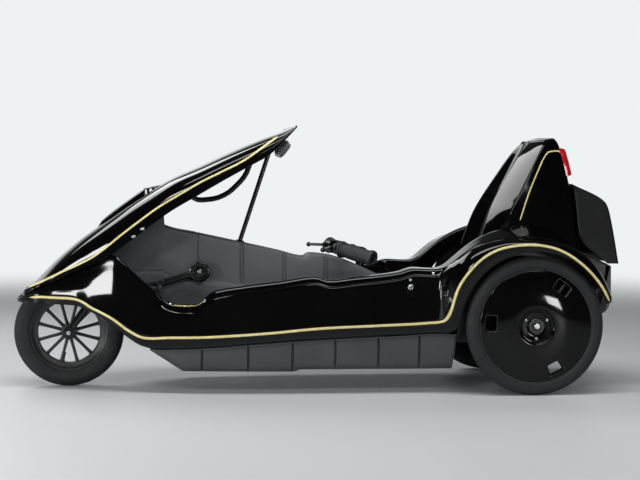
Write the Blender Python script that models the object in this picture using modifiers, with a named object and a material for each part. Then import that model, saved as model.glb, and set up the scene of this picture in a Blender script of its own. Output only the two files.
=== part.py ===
"""A low three wheeled electric and pedal car: black upper shell, grey tub and
centre tunnel, wedge hood on a stay, one steered front wheel, two rear wheels.

Metres, +Z up, front towards -X, the car's right hand towards +Y, ground at z = 0.
The origin is on the ground under the middle of the car's box.
"""
import math

import bmesh
import bpy
import numpy as np
from mathutils import Matrix, Vector

# Overall sizes
LENGTH = 1.744
WHEELBASE = 1.304
TRACK = 0.673
BODY_WALL = 0.003
HOOD_WALL = 0.004
HOOD_CROWN = 0.55
POD_SINK = 0.0016
SEAT_GAP = 0.0003
RUNNING_GAP = 0.0004

# Wheels and tyres
FRONT_TYRE_R = 0.1585
FRONT_TYRE_W = 0.054
FRONT_RIM_R = 0.112
FRONT_RIM_W = 0.040
FRONT_SPOKES = 12
REAR_TYRE_R = 0.195
REAR_TYRE_W = 0.045
REAR_RIM_R = 0.160
REAR_RIM_W = 0.034
REAR_SPOKES = 10
RIM_DEPTH = 0.014
FRONT_RIM_DEPTH = 0.023
SPOKE_W = 0.0095
SPOKE_T = 0.012
HUB_R = 0.021
COVER_R = 0.157
COVER_DOME = 0.013
COVER_RECESS_R = 0.047
COVER_RECESS_DEPTH = 0.009
COVER_WALL = 0.002
WINDOW_R = 0.129
WINDOW_SIZE = (0.033, 0.045)
WHEEL_SEGMENTS = 40

# Axles
AXLE_R = 0.008
NUT_R = 0.019
NUT_T = 0.007
HALF_WIDTH = 0.372

# Steering
RAKE_DEG = 27.0
FORK_OFFSET = 0.025
CROWN_HEIGHT = 0.182
CROWN_T = 0.014
HEAD_LOW = 0.200
HEAD_HIGH = 0.268
HEAD_R = 0.020
STEERER_R = 0.0125
BLADE_R = 0.010
BLADE_Y = 0.043
DROPOUT_T = 0.021

# Chassis
BEAM_W = 0.030
BEAM_H = 0.045
ARM_Y = 0.215
ARM_Z = 0.195
TRAY_PLATE_T = 0.004

# Crank and pedals
CRANK_X = -0.337
CRANK_Z = 0.336
CRANK_LENGTH = 0.155
CRANK_ANGLE_DEG = 17.0
CRANK_Y = 0.084
CRANK_ARM_T = 0.010
CRANK_ARM_W = 0.018
CRANK_BOSS_R = 0.024
SPINDLE_R = 0.008
PEDAL_PIN_R = 0.006
PEDAL_SIZE = (0.078, 0.072, 0.022)
SHELL_R = 0.018

# Tub
FLOOR_Z = 0.066
FLOOR_STEP = 0.006
GROOVE_W = 0.012
GROOVE_DEPTH = 0.004
TUB_GROOVES = (-0.337, -0.208, -0.084, 0.036, 0.158, 0.274)
TUB_REAR = 0.380
FLANGE_IN = 0.034
EDGE_IN = 0.022

# Console
CONSOLE_WALL = 0.003
CONSOLE_GROOVES = (-0.340, -0.213, -0.090, 0.033)

# Handlebar
BAR_X = 0.140
BAR_Z = 0.384
STEM_R = 0.0125
BAR_R = 0.011
BAR_BEND = 0.020
GRIP_R = 0.0215
GRIP_LENGTH = 0.115
GRIP_END = (0.150, 0.225, 0.378)
GRIP_RUN = (0.733, 0.643, -0.214)
LEVER_R = 0.0045
LEVER_TIP = (0.008, 0.195, 0.403)

# Boot
HINGE_X = 0.7366
HINGE_Z = 0.590
HINGE_R = 0.004

COLLECTION = "three_wheeled_car"

# Derived places
FRONT_X = -LENGTH / 2 + FRONT_TYRE_R
REAR_X = FRONT_X + WHEELBASE
REAR_Y = TRACK / 2
RAKE = math.radians(RAKE_DEG)
STEER_AXIS = Vector((math.sin(RAKE), 0.0, math.cos(RAKE)))
FRONT_HUB = Vector((FRONT_X, 0.0, FRONT_TYRE_R))
REAR_HUB_Z = REAR_TYRE_R
STEER_FOOT = FRONT_HUB + Vector((math.cos(RAKE), 0.0, -math.sin(RAKE))) * FORK_OFFSET

# Plan and side lines of the black shell: x, half width, lower edge z, gold line z, top edge z
SHELL = (
    (-0.8640, 0.0000, 0.2490, 0.2550, 0.2590),
    (-0.8580, 0.0360, 0.2485, 0.2580, 0.2625),
    (-0.8400, 0.0700, 0.2475, 0.2650, 0.2700),
    (-0.8050, 0.1020, 0.2465, 0.2710, 0.2850),
    (-0.7550, 0.1280, 0.2470, 0.2722, 0.3070),
    (-0.7000, 0.1500, 0.2445, 0.2688, 0.3340),
    (-0.6500, 0.1690, 0.2250, 0.2420, 0.3600),
    (-0.5900, 0.1930, 0.1835, 0.2115, 0.3900),
    (-0.5650, 0.2030, 0.1665, 0.1955, 0.3710),
    (-0.5110, 0.2230, 0.1330, 0.1625, 0.3220),
    (-0.4700, 0.2370, 0.1250, 0.1577, 0.2880),
    (-0.4340, 0.2480, 0.1255, 0.1600, 0.2600),
)
# x, half width, lower edge z, gold line z, top edge z, inner wall half width
SILL = (
    (-0.4337, 0.2480, 0.1255, 0.1600, 0.2600, 0.2030),
    (-0.4100, 0.2545, 0.1262, 0.1606, 0.2530, 0.2095),
    (-0.3850, 0.2610, 0.1272, 0.1612, 0.2515, 0.2160),
    (-0.3500, 0.2690, 0.1290, 0.1622, 0.2525, 0.2245),
    (-0.3300, 0.2730, 0.1303, 0.1628, 0.2700, 0.2280),
    (-0.3100, 0.2755, 0.1318, 0.1635, 0.2890, 0.2310),
    (-0.2200, 0.2880, 0.1392, 0.1690, 0.3060, 0.2430),
    (-0.1200, 0.2980, 0.1478, 0.1768, 0.3190, 0.2530),
    (-0.0200, 0.3030, 0.1545, 0.1865, 0.3330, 0.2580),
    (0.0150, 0.3040, 0.1560, 0.1885, 0.3220, 0.2590),
    (0.0900, 0.3060, 0.1598, 0.1920, 0.3300, 0.2580),
    (0.1600, 0.3080, 0.1635, 0.1955, 0.3370, 0.2500),
    (0.2160, 0.3090, 0.1660, 0.1985, 0.3450, 0.2380),
    (0.2550, 0.3100, 0.1675, 0.2003, 0.3560, 0.2260),
    (0.2900, 0.3100, 0.1690, 0.2020, 0.3540, 0.2190),
    (0.3300, 0.3110, 0.1715, 0.2055, 0.3530, 0.2115),
)
# Hood: edge x, edge half width, edge z, ridge x, ridge z
HOOD = (
    (-0.838, 0.066, 0.2780, -0.8565, 0.2680),
    (-0.795, 0.100, 0.2965, -0.8125, 0.3040),
    (-0.740, 0.124, 0.3185, -0.7500, 0.3680),
    (-0.680, 0.146, 0.3464, -0.6850, 0.4243),
    (-0.622, 0.169, 0.3742, -0.6220, 0.4700),
    (-0.588, 0.180, 0.3920, -0.5850, 0.4960),
    (-0.540, 0.190, 0.4270, -0.5300, 0.5330),
    (-0.480, 0.197, 0.4720, -0.4650, 0.5730),
    (-0.420, 0.201, 0.5150, -0.4000, 0.6080),
    (-0.350, 0.204, 0.5560, -0.3350, 0.6370),
    (-0.270, 0.205, 0.6025, -0.2600, 0.6730),
    (-0.195, 0.204, 0.6440, -0.1900, 0.7045),
    (-0.147, 0.202, 0.6705, -0.1400, 0.7240),
    (-0.104, 0.198, 0.7100, -0.0980, 0.7390),
    (-0.066, 0.189, 0.7500, -0.0480, 0.7590),
)
# Console: x, top z, top half width
CONSOLE = (
    (-0.5900, 0.4350, 0.046),
    (-0.5450, 0.4700, 0.050),
    (-0.5000, 0.4850, 0.052),
    (-0.4400, 0.5150, 0.055),
    (-0.4370, 0.4700, 0.055),
    (-0.3470, 0.4480, 0.056),
    (-0.2180, 0.4200, 0.057),
    (-0.0970, 0.3930, 0.058),
    (-0.0270, 0.3770, 0.058),
    (-0.0100, 0.3860, 0.058),
    (0.0320, 0.3830, 0.057),
    (0.0850, 0.3700, 0.056),
    (0.1500, 0.3420, 0.055),
    (0.2050, 0.3160, 0.054),
)
# Arch: lip angle, lip r, line r, lip half width, crest x, crest z, deck z, inner skirt z
ARCH = (
    (187.0, 0.2135, 0.2450, 0.335, 0.350, 0.361, 0.360, 0.305),
    (172.0, 0.2125, 0.2440, 0.352, 0.368, 0.376, 0.376, 0.315),
    (157.0, 0.2115, 0.2465, 0.362, 0.392, 0.396, 0.396, 0.335),
    (140.0, 0.2105, 0.2457, 0.367, 0.424, 0.4155, 0.421, 0.370),
    (122.0, 0.2095, 0.2436, 0.369, 0.470, 0.4290, 0.4465, 0.410),
    (105.0, 0.2085, 0.2340, 0.370, 0.520, 0.4350, 0.4630, 0.430),
    (90.0, 0.2080, 0.2265, 0.370, 0.590, 0.4350, 0.4735, 0.432),
    (75.0, 0.2080, 0.2222, 0.370, 0.640, 0.4310, 0.4670, 0.425),
    (60.0, 0.2080, 0.2185, 0.370, 0.690, 0.4190, 0.4450, 0.405),
    (45.0, 0.2080, 0.2165, 0.368, 0.735, 0.3920, 0.4090, 0.370),
    (30.0, 0.2090, 0.2175, 0.366, 0.775, 0.3440, 0.3530, 0.318),
    (17.0, 0.2110, 0.2205, 0.362, 0.802, 0.2880, 0.2920, 0.262),
)
ARCH_INNER_Y = 0.2085
ARCH_CREST_Y = 0.310
# Tail and seat back: z, rear x, break x, front x, rear half, break half, front half, dish
TAIL = (
    (0.402, 0.7520, 0.530, 0.468, 0.198, 0.203, 0.140, 0.060),
    (0.450, 0.7465, 0.545, 0.482, 0.195, 0.201, 0.128, 0.058),
    (0.506, 0.7410, 0.549, 0.502, 0.188, 0.194, 0.112, 0.052),
    (0.560, 0.7360, 0.578, 0.530, 0.177, 0.184, 0.094, 0.044),
    (0.620, 0.7280, 0.610, 0.567, 0.162, 0.171, 0.078, 0.034),
    (0.670, 0.7180, 0.637, 0.600, 0.149, 0.158, 0.066, 0.024),
    (0.695, 0.7110, 0.652, 0.620, 0.141, 0.150, 0.058, 0.016),
    (0.708, 0.7010, 0.664, 0.636, 0.125, 0.133, 0.052, 0.008),
)
# Seat pan: x, middle z, side edge z, half width
SEAT = (
    (0.215, 0.312, 0.318, 0.150),
    (0.235, 0.303, 0.322, 0.190),
    (0.290, 0.262, 0.322, 0.2060),
    (0.350, 0.238, 0.318, 0.2080),
    (0.415, 0.234, 0.330, 0.2080),
    (0.458, 0.252, 0.352, 0.2080),
    (0.490, 0.308, 0.372, 0.2080),
)
# Rear body: x, half width, top z
REAR_BODY = (
    (0.384, 0.262, 0.166),
    (0.400, 0.264, 0.300),
    (0.440, 0.264, 0.395),
    (0.520, 0.264, 0.425),
    (0.600, 0.264, 0.430),
    (0.690, 0.264, 0.405),
    (0.740, 0.260, 0.355),
    (0.780, 0.246, 0.270),
    (0.805, 0.236, 0.240),
    (0.830, 0.222, 0.300),
    (0.848, 0.200, 0.354),
)
REAR_FLOOR_Z = 0.140
# Underside of the rear body, rising to the rear: x, z
REAR_BASE = (
    (0.384, 0.140),
    (0.740, 0.140),
    (0.780, 0.180),
    (0.805, 0.212),
    (0.830, 0.221),
    (0.848, 0.226),
)
REAR_END = 0.852

MATERIALS = {
    "gloss_black": ((0.0030, 0.0032, 0.0035), 0.08, 0.0),
    "grey_moulding": ((0.090, 0.094, 0.100), 0.45, 0.0),
    "black_plastic": ((0.012, 0.012, 0.013), 0.40, 0.0),
    "black_steel": ((0.020, 0.020, 0.021), 0.45, 0.2),
    "tyre_rubber": ((0.033, 0.034, 0.036), 0.80, 0.0),
    "bright_steel": ((0.560, 0.570, 0.580), 0.25, 1.0),
    "red_lens": ((0.450, 0.012, 0.020), 0.15, 0.0),
    "grip_rubber": ((0.060, 0.061, 0.063), 0.75, 0.0),
    "smoked_plastic": ((0.150, 0.155, 0.160), 0.20, 0.0),
}


def clear_scene():
    for item in list(bpy.data.objects):
        bpy.data.objects.remove(item, do_unlink=True)


def make_collection(name):
    group = bpy.data.collections.new(name)
    bpy.context.scene.collection.children.link(group)
    return group


def make_material(name):
    colour, roughness, metallic = MATERIALS[name]
    material = bpy.data.materials.new(name)
    material.use_nodes = True
    shader = material.node_tree.nodes["Principled BSDF"]
    shader.inputs["Base Color"].default_value = (*colour, 1.0)
    shader.inputs["Roughness"].default_value = roughness
    shader.inputs["Metallic"].default_value = metallic
    return material


clear_scene()
PARTS = make_collection(COLLECTION)
CUTTERS = make_collection("cutters")


def column(table, x, index):
    """One column of a table at x, by a cubic that never overshoots its rows."""
    xs = np.array([row[0] for row in table])
    ys = np.array([row[index] for row in table])
    x = min(max(x, xs[0]), xs[-1])
    i = int(min(max(np.searchsorted(xs, x) - 1, 0), len(xs) - 2))
    step = np.diff(xs)
    slope = np.diff(ys) / step
    grade = np.zeros(len(xs))
    for k in range(1, len(xs) - 1):
        if slope[k - 1] * slope[k] > 0:
            grade[k] = 2 * slope[k - 1] * slope[k] / (slope[k - 1] + slope[k])
    grade[0] = slope[0]
    grade[-1] = slope[-1]
    t = (x - xs[i]) / step[i]
    a = (1 + 2 * t) * (1 - t) ** 2 * ys[i] + t * (1 - t) ** 2 * step[i] * grade[i]
    b = t * t * (3 - 2 * t) * ys[i + 1] + t * t * (t - 1) * step[i] * grade[i + 1]
    return float(a + b)


def link_object(name, mesh, material, group=None):
    item = bpy.data.objects.new(name, mesh)
    (group or PARTS).objects.link(item)
    if material:
        item.data.materials.clear()
        item.data.materials.append(make_material(material))
        item.data.materials[0].name = name + "_" + material
    return item


def smooth(item, angle=35.0):
    item.data.shade_smooth()
    item.data.set_sharp_from_angle(angle=math.radians(angle))


def add_modifier(item, kind, **settings):
    modifier = item.modifiers.new(kind.lower(), kind)
    for key, value in settings.items():
        setattr(modifier, key, value)
    return modifier


def bake(item):
    """Applies the modifiers of an object to its own mesh."""
    graph = bpy.context.evaluated_depsgraph_get()
    mesh = bpy.data.meshes.new_from_object(item.evaluated_get(graph))
    item.modifiers.clear()
    old = item.data
    item.data = mesh
    if old.users == 0:
        if isinstance(old, bpy.types.Mesh):
            bpy.data.meshes.remove(old)
    return item


def from_bmesh(name, mesh_data, material, group=None):
    mesh = bpy.data.meshes.new(name)
    mesh_data.to_mesh(mesh)
    mesh_data.free()
    return link_object(name, mesh, material, group)


def face_out(item):
    """Welds the seam of a turned shape and points its faces outwards."""
    shape = bmesh.new()
    shape.from_mesh(item.data)
    bmesh.ops.remove_doubles(shape, verts=shape.verts, dist=2e-6)
    bmesh.ops.dissolve_degenerate(shape, dist=1e-7, edges=shape.edges)
    bmesh.ops.recalc_face_normals(shape, faces=shape.faces)
    shape.to_mesh(item.data)
    shape.free()


def trim(item, low=None, high=None, axis=0):
    """Squares the ends of a walled sheet to planes across one axis."""
    bake(item)
    for vert in item.data.vertices:
        if low is not None:
            vert.co[axis] = max(vert.co[axis], low)
        if high is not None:
            vert.co[axis] = min(vert.co[axis], high)
    smooth(item)


def grid_surface(name, rows, material, wall, mirror=False, offset=-1.0):
    """An open sheet through rows of points, given its wall by Solidify."""
    sheet = bmesh.new()
    made = [[sheet.verts.new(point) for point in row] for row in rows]
    for i in range(len(made) - 1):
        for j in range(len(made[0]) - 1):
            corners = (made[i][j], made[i + 1][j], made[i + 1][j + 1], made[i][j + 1])
            sheet.faces.new(corners)
    bmesh.ops.remove_doubles(sheet, verts=sheet.verts, dist=1e-6)
    item = from_bmesh(name, sheet, material)
    if mirror:
        add_modifier(item, "MIRROR", use_axis=(False, True, False), merge_threshold=0.00005)
    add_modifier(item, "SOLIDIFY", thickness=wall, offset=offset, use_even_offset=True)
    smooth(item)
    return item


def ring_loft(name, rings, material, wall=0.0, cap_start=False, cap_end=False, mirror=False):
    """Closed loops, or half loops for Mirror, joined in order."""
    loft = bmesh.new()
    made = [[loft.verts.new(point) for point in ring] for ring in rings]
    count = len(made[0])
    last = count - 1 if mirror else count
    for i in range(len(made) - 1):
        for j in range(last):
            k = (j + 1) % count
            loft.faces.new((made[i][j], made[i][k], made[i + 1][k], made[i + 1][j]))
    if cap_start:
        loft.faces.new(list(reversed(made[0])))
    if cap_end:
        loft.faces.new(made[-1])
    item = from_bmesh(name, loft, material)
    if mirror:
        add_modifier(item, "MIRROR", use_axis=(False, True, False), merge_threshold=0.00005)
    if wall:
        add_modifier(item, "SOLIDIFY", thickness=wall, offset=-1.0, use_even_offset=True)
    smooth(item)
    return item


def box(name, size, centre, material=None, group=None, turn=None):
    cube = bmesh.new()
    bmesh.ops.create_cube(cube, size=1.0)
    bmesh.ops.scale(cube, vec=size, verts=cube.verts)
    if turn:
        bmesh.ops.rotate(cube, matrix=turn, verts=cube.verts)
    bmesh.ops.translate(cube, vec=centre, verts=cube.verts)
    return from_bmesh(name, cube, material, group)


def rod(name, start, end, radius, material=None, group=None, segments=16, end_radius=None):
    """A round bar, or a cone, between two points."""
    start = Vector(start)
    end = Vector(end)
    run = end - start
    bar = bmesh.new()
    last = radius if end_radius is None else end_radius
    bmesh.ops.create_cone(
        bar, cap_ends=True, segments=segments, radius1=radius, radius2=last, depth=run.length)
    turn = Vector((0, 0, 1)).rotation_difference(run.normalized()).to_matrix()
    bmesh.ops.rotate(bar, matrix=turn, verts=bar.verts)
    bmesh.ops.translate(bar, vec=(start + end) / 2, verts=bar.verts)
    return from_bmesh(name, bar, material, group)


def beam(name, start, end, width, height, group=None):
    """A box section bar between two points, its height square to its run."""
    start = Vector(start)
    end = Vector(end)
    run = (end - start).normalized()
    side = Vector((0, 0, 1)).cross(run).normalized()
    up = run.cross(side)
    turn = Matrix((run, side, up)).transposed()
    length = (end - start).length + height * 0.4
    return box(name, (length, width, height), (start + end) / 2, None, group, turn)


def turned(name, profile, centre, material, segments=WHEEL_SEGMENTS, group=None, closed=True):
    """A (radius, y) profile turned about the Y axis through a centre."""
    line = bmesh.new()
    knots = [line.verts.new((radius, 0.0, y)) for radius, y in profile]
    pairs = list(zip(knots[:-1], knots[1:]))
    if closed:
        pairs.append((knots[-1], knots[0]))
    for pair in pairs:
        line.edges.new(pair)
    item = from_bmesh(name, line, material, group)
    add_modifier(
        item, "SCREW", angle=2 * math.pi, steps=segments, render_steps=segments,
        use_merge_vertices=True, merge_threshold=0.00002)
    bake(item)
    place = Matrix.Translation(centre) @ Matrix.Rotation(-math.pi / 2, 4, "X")
    item.data.transform(place)
    face_out(item)
    smooth(item)
    return item


def tube(name, points, radius, material, sides=2, group=None, handles="AUTO"):
    """A round bar bent along a smooth line through its points."""
    curve = bpy.data.curves.new(name, "CURVE")
    curve.dimensions = "3D"
    curve.bevel_depth = radius
    curve.bevel_resolution = sides
    curve.resolution_u = 3
    curve.render_resolution_u = 0
    curve.use_fill_caps = True
    spline = curve.splines.new("BEZIER")
    spline.bezier_points.add(len(points) - 1)
    for knot, point in zip(spline.bezier_points, points):
        knot.co = point
        knot.handle_left_type = handles
        knot.handle_right_type = handles
    holder = bpy.data.objects.new(name + "_line", curve)
    PARTS.objects.link(holder)
    graph = bpy.context.evaluated_depsgraph_get()
    mesh = bpy.data.meshes.new_from_object(holder.evaluated_get(graph))
    bpy.data.objects.remove(holder, do_unlink=True)
    shape = bmesh.new()
    shape.from_mesh(mesh)
    bmesh.ops.remove_doubles(shape, verts=shape.verts, dist=1e-6)
    bmesh.ops.recalc_face_normals(shape, faces=shape.faces)
    bpy.data.meshes.remove(mesh)
    item = from_bmesh(name, shape, material, group)
    smooth(item)
    return item


def boolean(item, others, operation):
    """Joins or cuts an object with others, which are then removed."""
    for other in others:
        add_modifier(item, "BOOLEAN", operation=operation, object=other, solver="EXACT")
        bake(item)
        bpy.data.objects.remove(other, do_unlink=True)
    return item


def union(name, items, material):
    first = items[0]
    boolean(first, items[1:], "UNION")
    first.name = name
    first.data.name = name
    first.data.materials.clear()
    first.data.materials.append(make_material(material))
    first.data.materials[0].name = name + "_" + material
    if first.name not in PARTS.objects:
        PARTS.objects.link(first)
        CUTTERS.objects.unlink(first)
    smooth(first)
    return first


def cutter_rod(start, end, radius):
    return rod("cutter", start, end, radius, None, CUTTERS, 24)


def set_origin(item, point):
    """Moves the object's origin to a point on its joint's axis."""
    point = Vector(point)
    item.data.transform(Matrix.Translation(-point))
    item.location = point


def edge_normals(points):
    """Outward plan directions along the half outline, front tip to rear."""
    found = []
    for i, point in enumerate(points):
        if i == 0:
            found.append(Vector((-1.0, 0.0)))
            continue
        before = Vector(points[i - 1])
        after = Vector(points[min(i + 1, len(points) - 1)])
        along = (after - before).normalized()
        found.append(Vector((-along.y, along.x)))
    return found


def steer_point(height, y=0.0):
    return STEER_FOOT + STEER_AXIS * height + Vector((0.0, y, 0.0))


def nose_tuck(x):
    """How far the nose's lower edge lies inboard: little where the wheel swings."""
    return float(np.interp(x, (-0.860, -0.740, -0.600), (0.003, 0.006, EDGE_IN)))


def nose_rows():
    """Sections of the nose, each from its lower edge to its top edge."""
    outline = [(row[0], row[1]) for row in SHELL]
    normals = edge_normals(outline)
    rows = []
    for row, normal in zip(SHELL, normals):
        x, half, low, line, top = row
        rise = top - line
        shape = (
            (nose_tuck(x), low),
            (0.36 * nose_tuck(x), low + 0.35 * (line - low)),
            (0.0, line),
            (0.002, line + 0.30 * rise),
            (0.007, line + 0.65 * rise),
            (0.016, top),
        )
        reach = min(1.0, (half + 0.02) / 0.05)
        rows.append([
            (x - normal.x * inset * reach, max(half - normal.y * inset * reach, 0.0), z)
            for inset, z in shape])
    for j in range(len(rows[0])):
        rows[0][j] = (rows[0][j][0], 0.0, rows[0][j][2])
    return rows


def nose_inner_half(x, z):
    """Half width inside the nose shell at a place."""
    half = column(SHELL, x, 1)
    line = column(SHELL, x, 3)
    top = column(SHELL, x, 4)
    low = column(SHELL, x, 2)
    if z < line:
        inset = nose_tuck(x) * (line - z) / (line - low)
    else:
        inset = 0.016 * ((z - line) / (top - line)) ** 1.5
    return half - inset - BODY_WALL


def build_nose():
    item = grid_surface("nose_shell", nose_rows(), "gloss_black", BODY_WALL, True, 1.0)
    trim(item, high=SHELL[-1][0])


def sill_row(x):
    half = column(SILL, x, 1)
    low = column(SILL, x, 2)
    line = column(SILL, x, 3)
    top = column(SILL, x, 4)
    inner = column(SILL, x, 5)
    rise = top - line
    return [
        (x, half - EDGE_IN, low),
        (x, half - 0.006, low + 0.4 * (line - low)),
        (x, half, line),
        (x, half - 0.003, line + 0.45 * rise),
        (x, half - 0.010, top - 0.018),
        (x, half - 0.020, top - 0.002),
        (x, inner + 0.008, top),
        (x, inner, top - 0.010),
        (x, inner - 0.003, max(low + 0.050, top - 0.140)),
    ]


def sill_stations():
    return [row[0] for row in SILL]


def build_sills():
    for side, sign in (("left", -1), ("right", 1)):
        rows = [
            [(x, sign * y, z) for x, y, z in sill_row(station)]
            for station in sill_stations()]
        if sign < 0:
            rows.reverse()
        item = grid_surface("side_shell_" + side, rows, "gloss_black", BODY_WALL, False, 1.0)
        trim(item, SILL[0][0], SILL[-1][0])


def arch_rows():
    """Arch sections: lip, line, shoulder, crest, deck edge, inner skirt."""
    start = sill_row(SILL[-1][0])
    first = [start[0], start[2], start[4], start[5], start[6], start[8]]
    gap = SEAT_GAP
    rows = [[(x + gap, y, z) for x, y, z in first]]
    for angle, lip_r, line_r, lip_y, crest_x, crest_z, deck_z, skirt in ARCH:
        turn = math.radians(angle)
        c = math.cos(turn)
        s = math.sin(turn)
        lip = Vector((REAR_X + lip_r * c, lip_y - 0.004, REAR_HUB_Z + lip_r * s))
        line = Vector((REAR_X + line_r * c, lip_y, REAR_HUB_Z + line_r * s))
        crest = Vector((crest_x, ARCH_CREST_Y, crest_z))
        bulge = Vector((0.006 * c, 0.018, 0.006 * s))
        shoulder = (line + crest) / 2 + bulge
        deck = Vector((crest_x, ARCH_INNER_Y + 0.010, deck_z))
        inner = Vector((crest_x, ARCH_INNER_Y, skirt))
        rows.append([tuple(v) for v in (lip, line, shoulder, crest, deck, inner)])
    return rows


def build_arches():
    for side, sign in (("left", -1), ("right", 1)):
        rows = [[(x, sign * y, z) for x, y, z in row] for row in arch_rows()]
        if sign < 0:
            rows.reverse()
        item = grid_surface("wheel_arch_" + side, rows, "gloss_black", BODY_WALL, False, 1.0)
        trim(item, low=SILL[-1][0] + SEAT_GAP)
        smooth(item, 50)


def hood_row(row, wave):
    """Section from the edge up to the ridge, a flattened quarter oval."""
    edge_x, half, edge_z, ridge_x, ridge_z = row
    points = []
    for k in range(wave + 1):
        turn = 0.5 * math.pi * (1 - k / wave)
        across = math.sin(turn) ** HOOD_CROWN
        rise = math.cos(turn) ** HOOD_CROWN if k else 0.0
        y = half * across if k < wave else 0.0
        points.append((
            edge_x + (ridge_x - edge_x) * (1 - across),
            y,
            edge_z + (ridge_z - edge_z) * rise))
    return points


def build_hood():
    rows = [hood_row(row, 7) for row in HOOD]
    grid_surface("hood", rows, "gloss_black", HOOD_WALL, True, 1.0)


def hood_height(x, y):
    """Height of the hood's outer face at a place on its crown."""
    ridge_x = [row[3] for row in HOOD]
    ridge = float(np.interp(x, ridge_x, [row[4] for row in HOOD]))
    edge = float(np.interp(x, ridge_x, [row[2] for row in HOOD]))
    half = float(np.interp(x, ridge_x, [row[1] for row in HOOD]))
    across = min(abs(y) / half, 1.0) ** (1 / HOOD_CROWN)
    return edge + (ridge - edge) * math.sqrt(1 - across * across) ** HOOD_CROWN


POD_STATIONS = (
    (-0.620, 0.058, 0.0115),
    (-0.585, 0.066, 0.0150),
    (-0.530, 0.078, 0.0185),
    (-0.487, 0.086, 0.0230),
    (-0.447, 0.088, 0.0035),
)


def build_hood_pod():
    """A low wedge on the hood's crown, rising to the rear."""
    rows = []
    for x, half, height in POD_STATIONS:
        crown = hood_height(x, 0.0) - POD_SINK
        foot = hood_height(x, half) - POD_SINK
        middle = hood_height(x, half * 0.5) - POD_SINK
        right = [
            (x, 0.0, crown),
            (x, half * 0.5, middle),
            (x, half, foot),
            (x, half - 0.003, foot + 0.6 * height),
            (x, half - 0.008, foot + height),
            (x, 0.0, crown + height),
        ]
        rows.append(right)
    item = ring_loft("hood_pod", rows, "gloss_black", cap_start=True, cap_end=True, mirror=True)
    bake(item)
    face_out(item)
    rings = []
    for row in HOOD[3:10]:
        right = [(x, y, z + 0.0006) for x, y, z in hood_row(row, 7)]
        left = [(x, -y, z) for x, y, z in reversed(right[:-1])]
        rings.append(right + left + [(row[3], -row[1], 0.3), (row[3], row[1], 0.3)])
    below = ring_loft("below_hood", rings, "gloss_black", cap_start=True, cap_end=True)
    face_out(below)
    boolean(item, [below], "DIFFERENCE")
    smooth(item)


def tub_stations():
    xs = [row[0] for row in TUB_LINE]
    for groove in TUB_GROOVES:
        xs += [groove - GROOVE_W / 2, groove, groove + GROOVE_W / 2]
    return sorted(set(round(x, 5) for x in xs))


# Tub: x, inner floor z, half width of the black shell, lower edge z of the black shell
TUB_LINE = tuple(
    (x, floor, half, low)
    for x, floor, half, low in (
        (-0.4810, 0.1190, 0.2330, 0.1262),
        (-0.4600, 0.1050, 0.2400, 0.1250),
        (-0.4340, 0.0885, 0.2480, 0.1255),
        (-0.4000, 0.0670, 0.2570, 0.1265),
        (-0.3870, FLOOR_Z - FLOOR_STEP, 0.2605, 0.1271),
        (-0.2800, FLOOR_Z - FLOOR_STEP, 0.2800, 0.1340),
        (-0.1500, FLOOR_Z - FLOOR_STEP, 0.2955, 0.1450),
        (-0.0780, FLOOR_Z - FLOOR_STEP, 0.3005, 0.1505),
        (-0.0580, FLOOR_Z, 0.3020, 0.1520),
        (0.1000, FLOOR_Z, 0.3060, 0.1600),
        (0.2200, FLOOR_Z, 0.3090, 0.1658),
        (0.3300, FLOOR_Z, 0.3110, 0.1712),
        (0.3740, FLOOR_Z, 0.3110, 0.1690),
        (TUB_REAR, 0.1600, 0.3110, 0.1690),
    ))


def groove_depth(x, grooves):
    for groove in grooves:
        if abs(x - groove) <= 1e-5:
            return GROOVE_DEPTH
    return 0.0


def tub_row(x):
    floor = column(TUB_LINE, x, 1)
    half = column(TUB_LINE, x, 2)
    flange = column(TUB_LINE, x, 3) - 0.0012 - BODY_WALL
    depth = groove_depth(x, TUB_GROOVES)
    side = half - FLANGE_IN - depth
    rise = flange - floor
    return [
        (x, 0.0, floor),
        (x, side - 0.100, floor),
        (x, side - 0.040, floor),
        (x, side - 0.014, floor + 0.18 * rise),
        (x, side - 0.003, floor + 0.50 * rise),
        (x, side, flange - 0.02 * rise - 0.0005),
        (x, half - EDGE_IN + 0.002, flange),
    ]


def build_tub():
    rows = [tub_row(x) for x in tub_stations()]
    grid_surface("lower_tub", rows, "grey_moulding", BODY_WALL, mirror=True, offset=1.0)


# Toe board behind the front wheel: x, z
TOE_BOARD = ((-0.5520, 0.300), (-0.5450, 0.280), (-0.5250, 0.225), (-0.5000, 0.165), (-0.4840, 0.134))


def build_toe_board():
    rows = []
    for x, z in TOE_BOARD:
        half = nose_inner_half(x, z) - 0.0070
        rows.append([(x, y, z) for y in (0.0, half * 0.5, half)])
    grid_surface("toe_board", rows, "grey_moulding", BODY_WALL, mirror=True)


def console_base(x):
    """Height of the console's lower edge: on the floor, or above the toe board."""
    if x > -0.387:
        return FLOOR_Z + BODY_WALL + SEAT_GAP
    if x > -0.481:
        return column(TUB_LINE, x, 1) + 0.0050
    return column(sorted(TOE_BOARD), x, 1) + 0.0050


def console_row(x, top, half_top):
    base = console_base(x)
    depth = groove_depth(x, CONSOLE_GROOVES)
    half_low = half_top + 0.016 - depth
    half_up = half_top - depth
    crease = min(base + 0.62 * (top - base), 0.333)
    return [
        (x, half_low, base),
        (x, half_low - 0.004, crease),
        (x, half_up + 0.006, crease + 0.010),
        (x, half_up, top - 0.010),
        (x, half_up - 0.008, top),
        (x, 0.0, top),
    ]


def console_stations():
    xs = [row[0] for row in CONSOLE]
    xs += [-0.552, -0.481, -0.484, -0.525, -0.387, -0.4]
    for groove in CONSOLE_GROOVES:
        xs += [groove - GROOVE_W / 2, groove, groove + GROOVE_W / 2]
    return sorted(set(round(x, 5) for x in xs))


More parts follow.
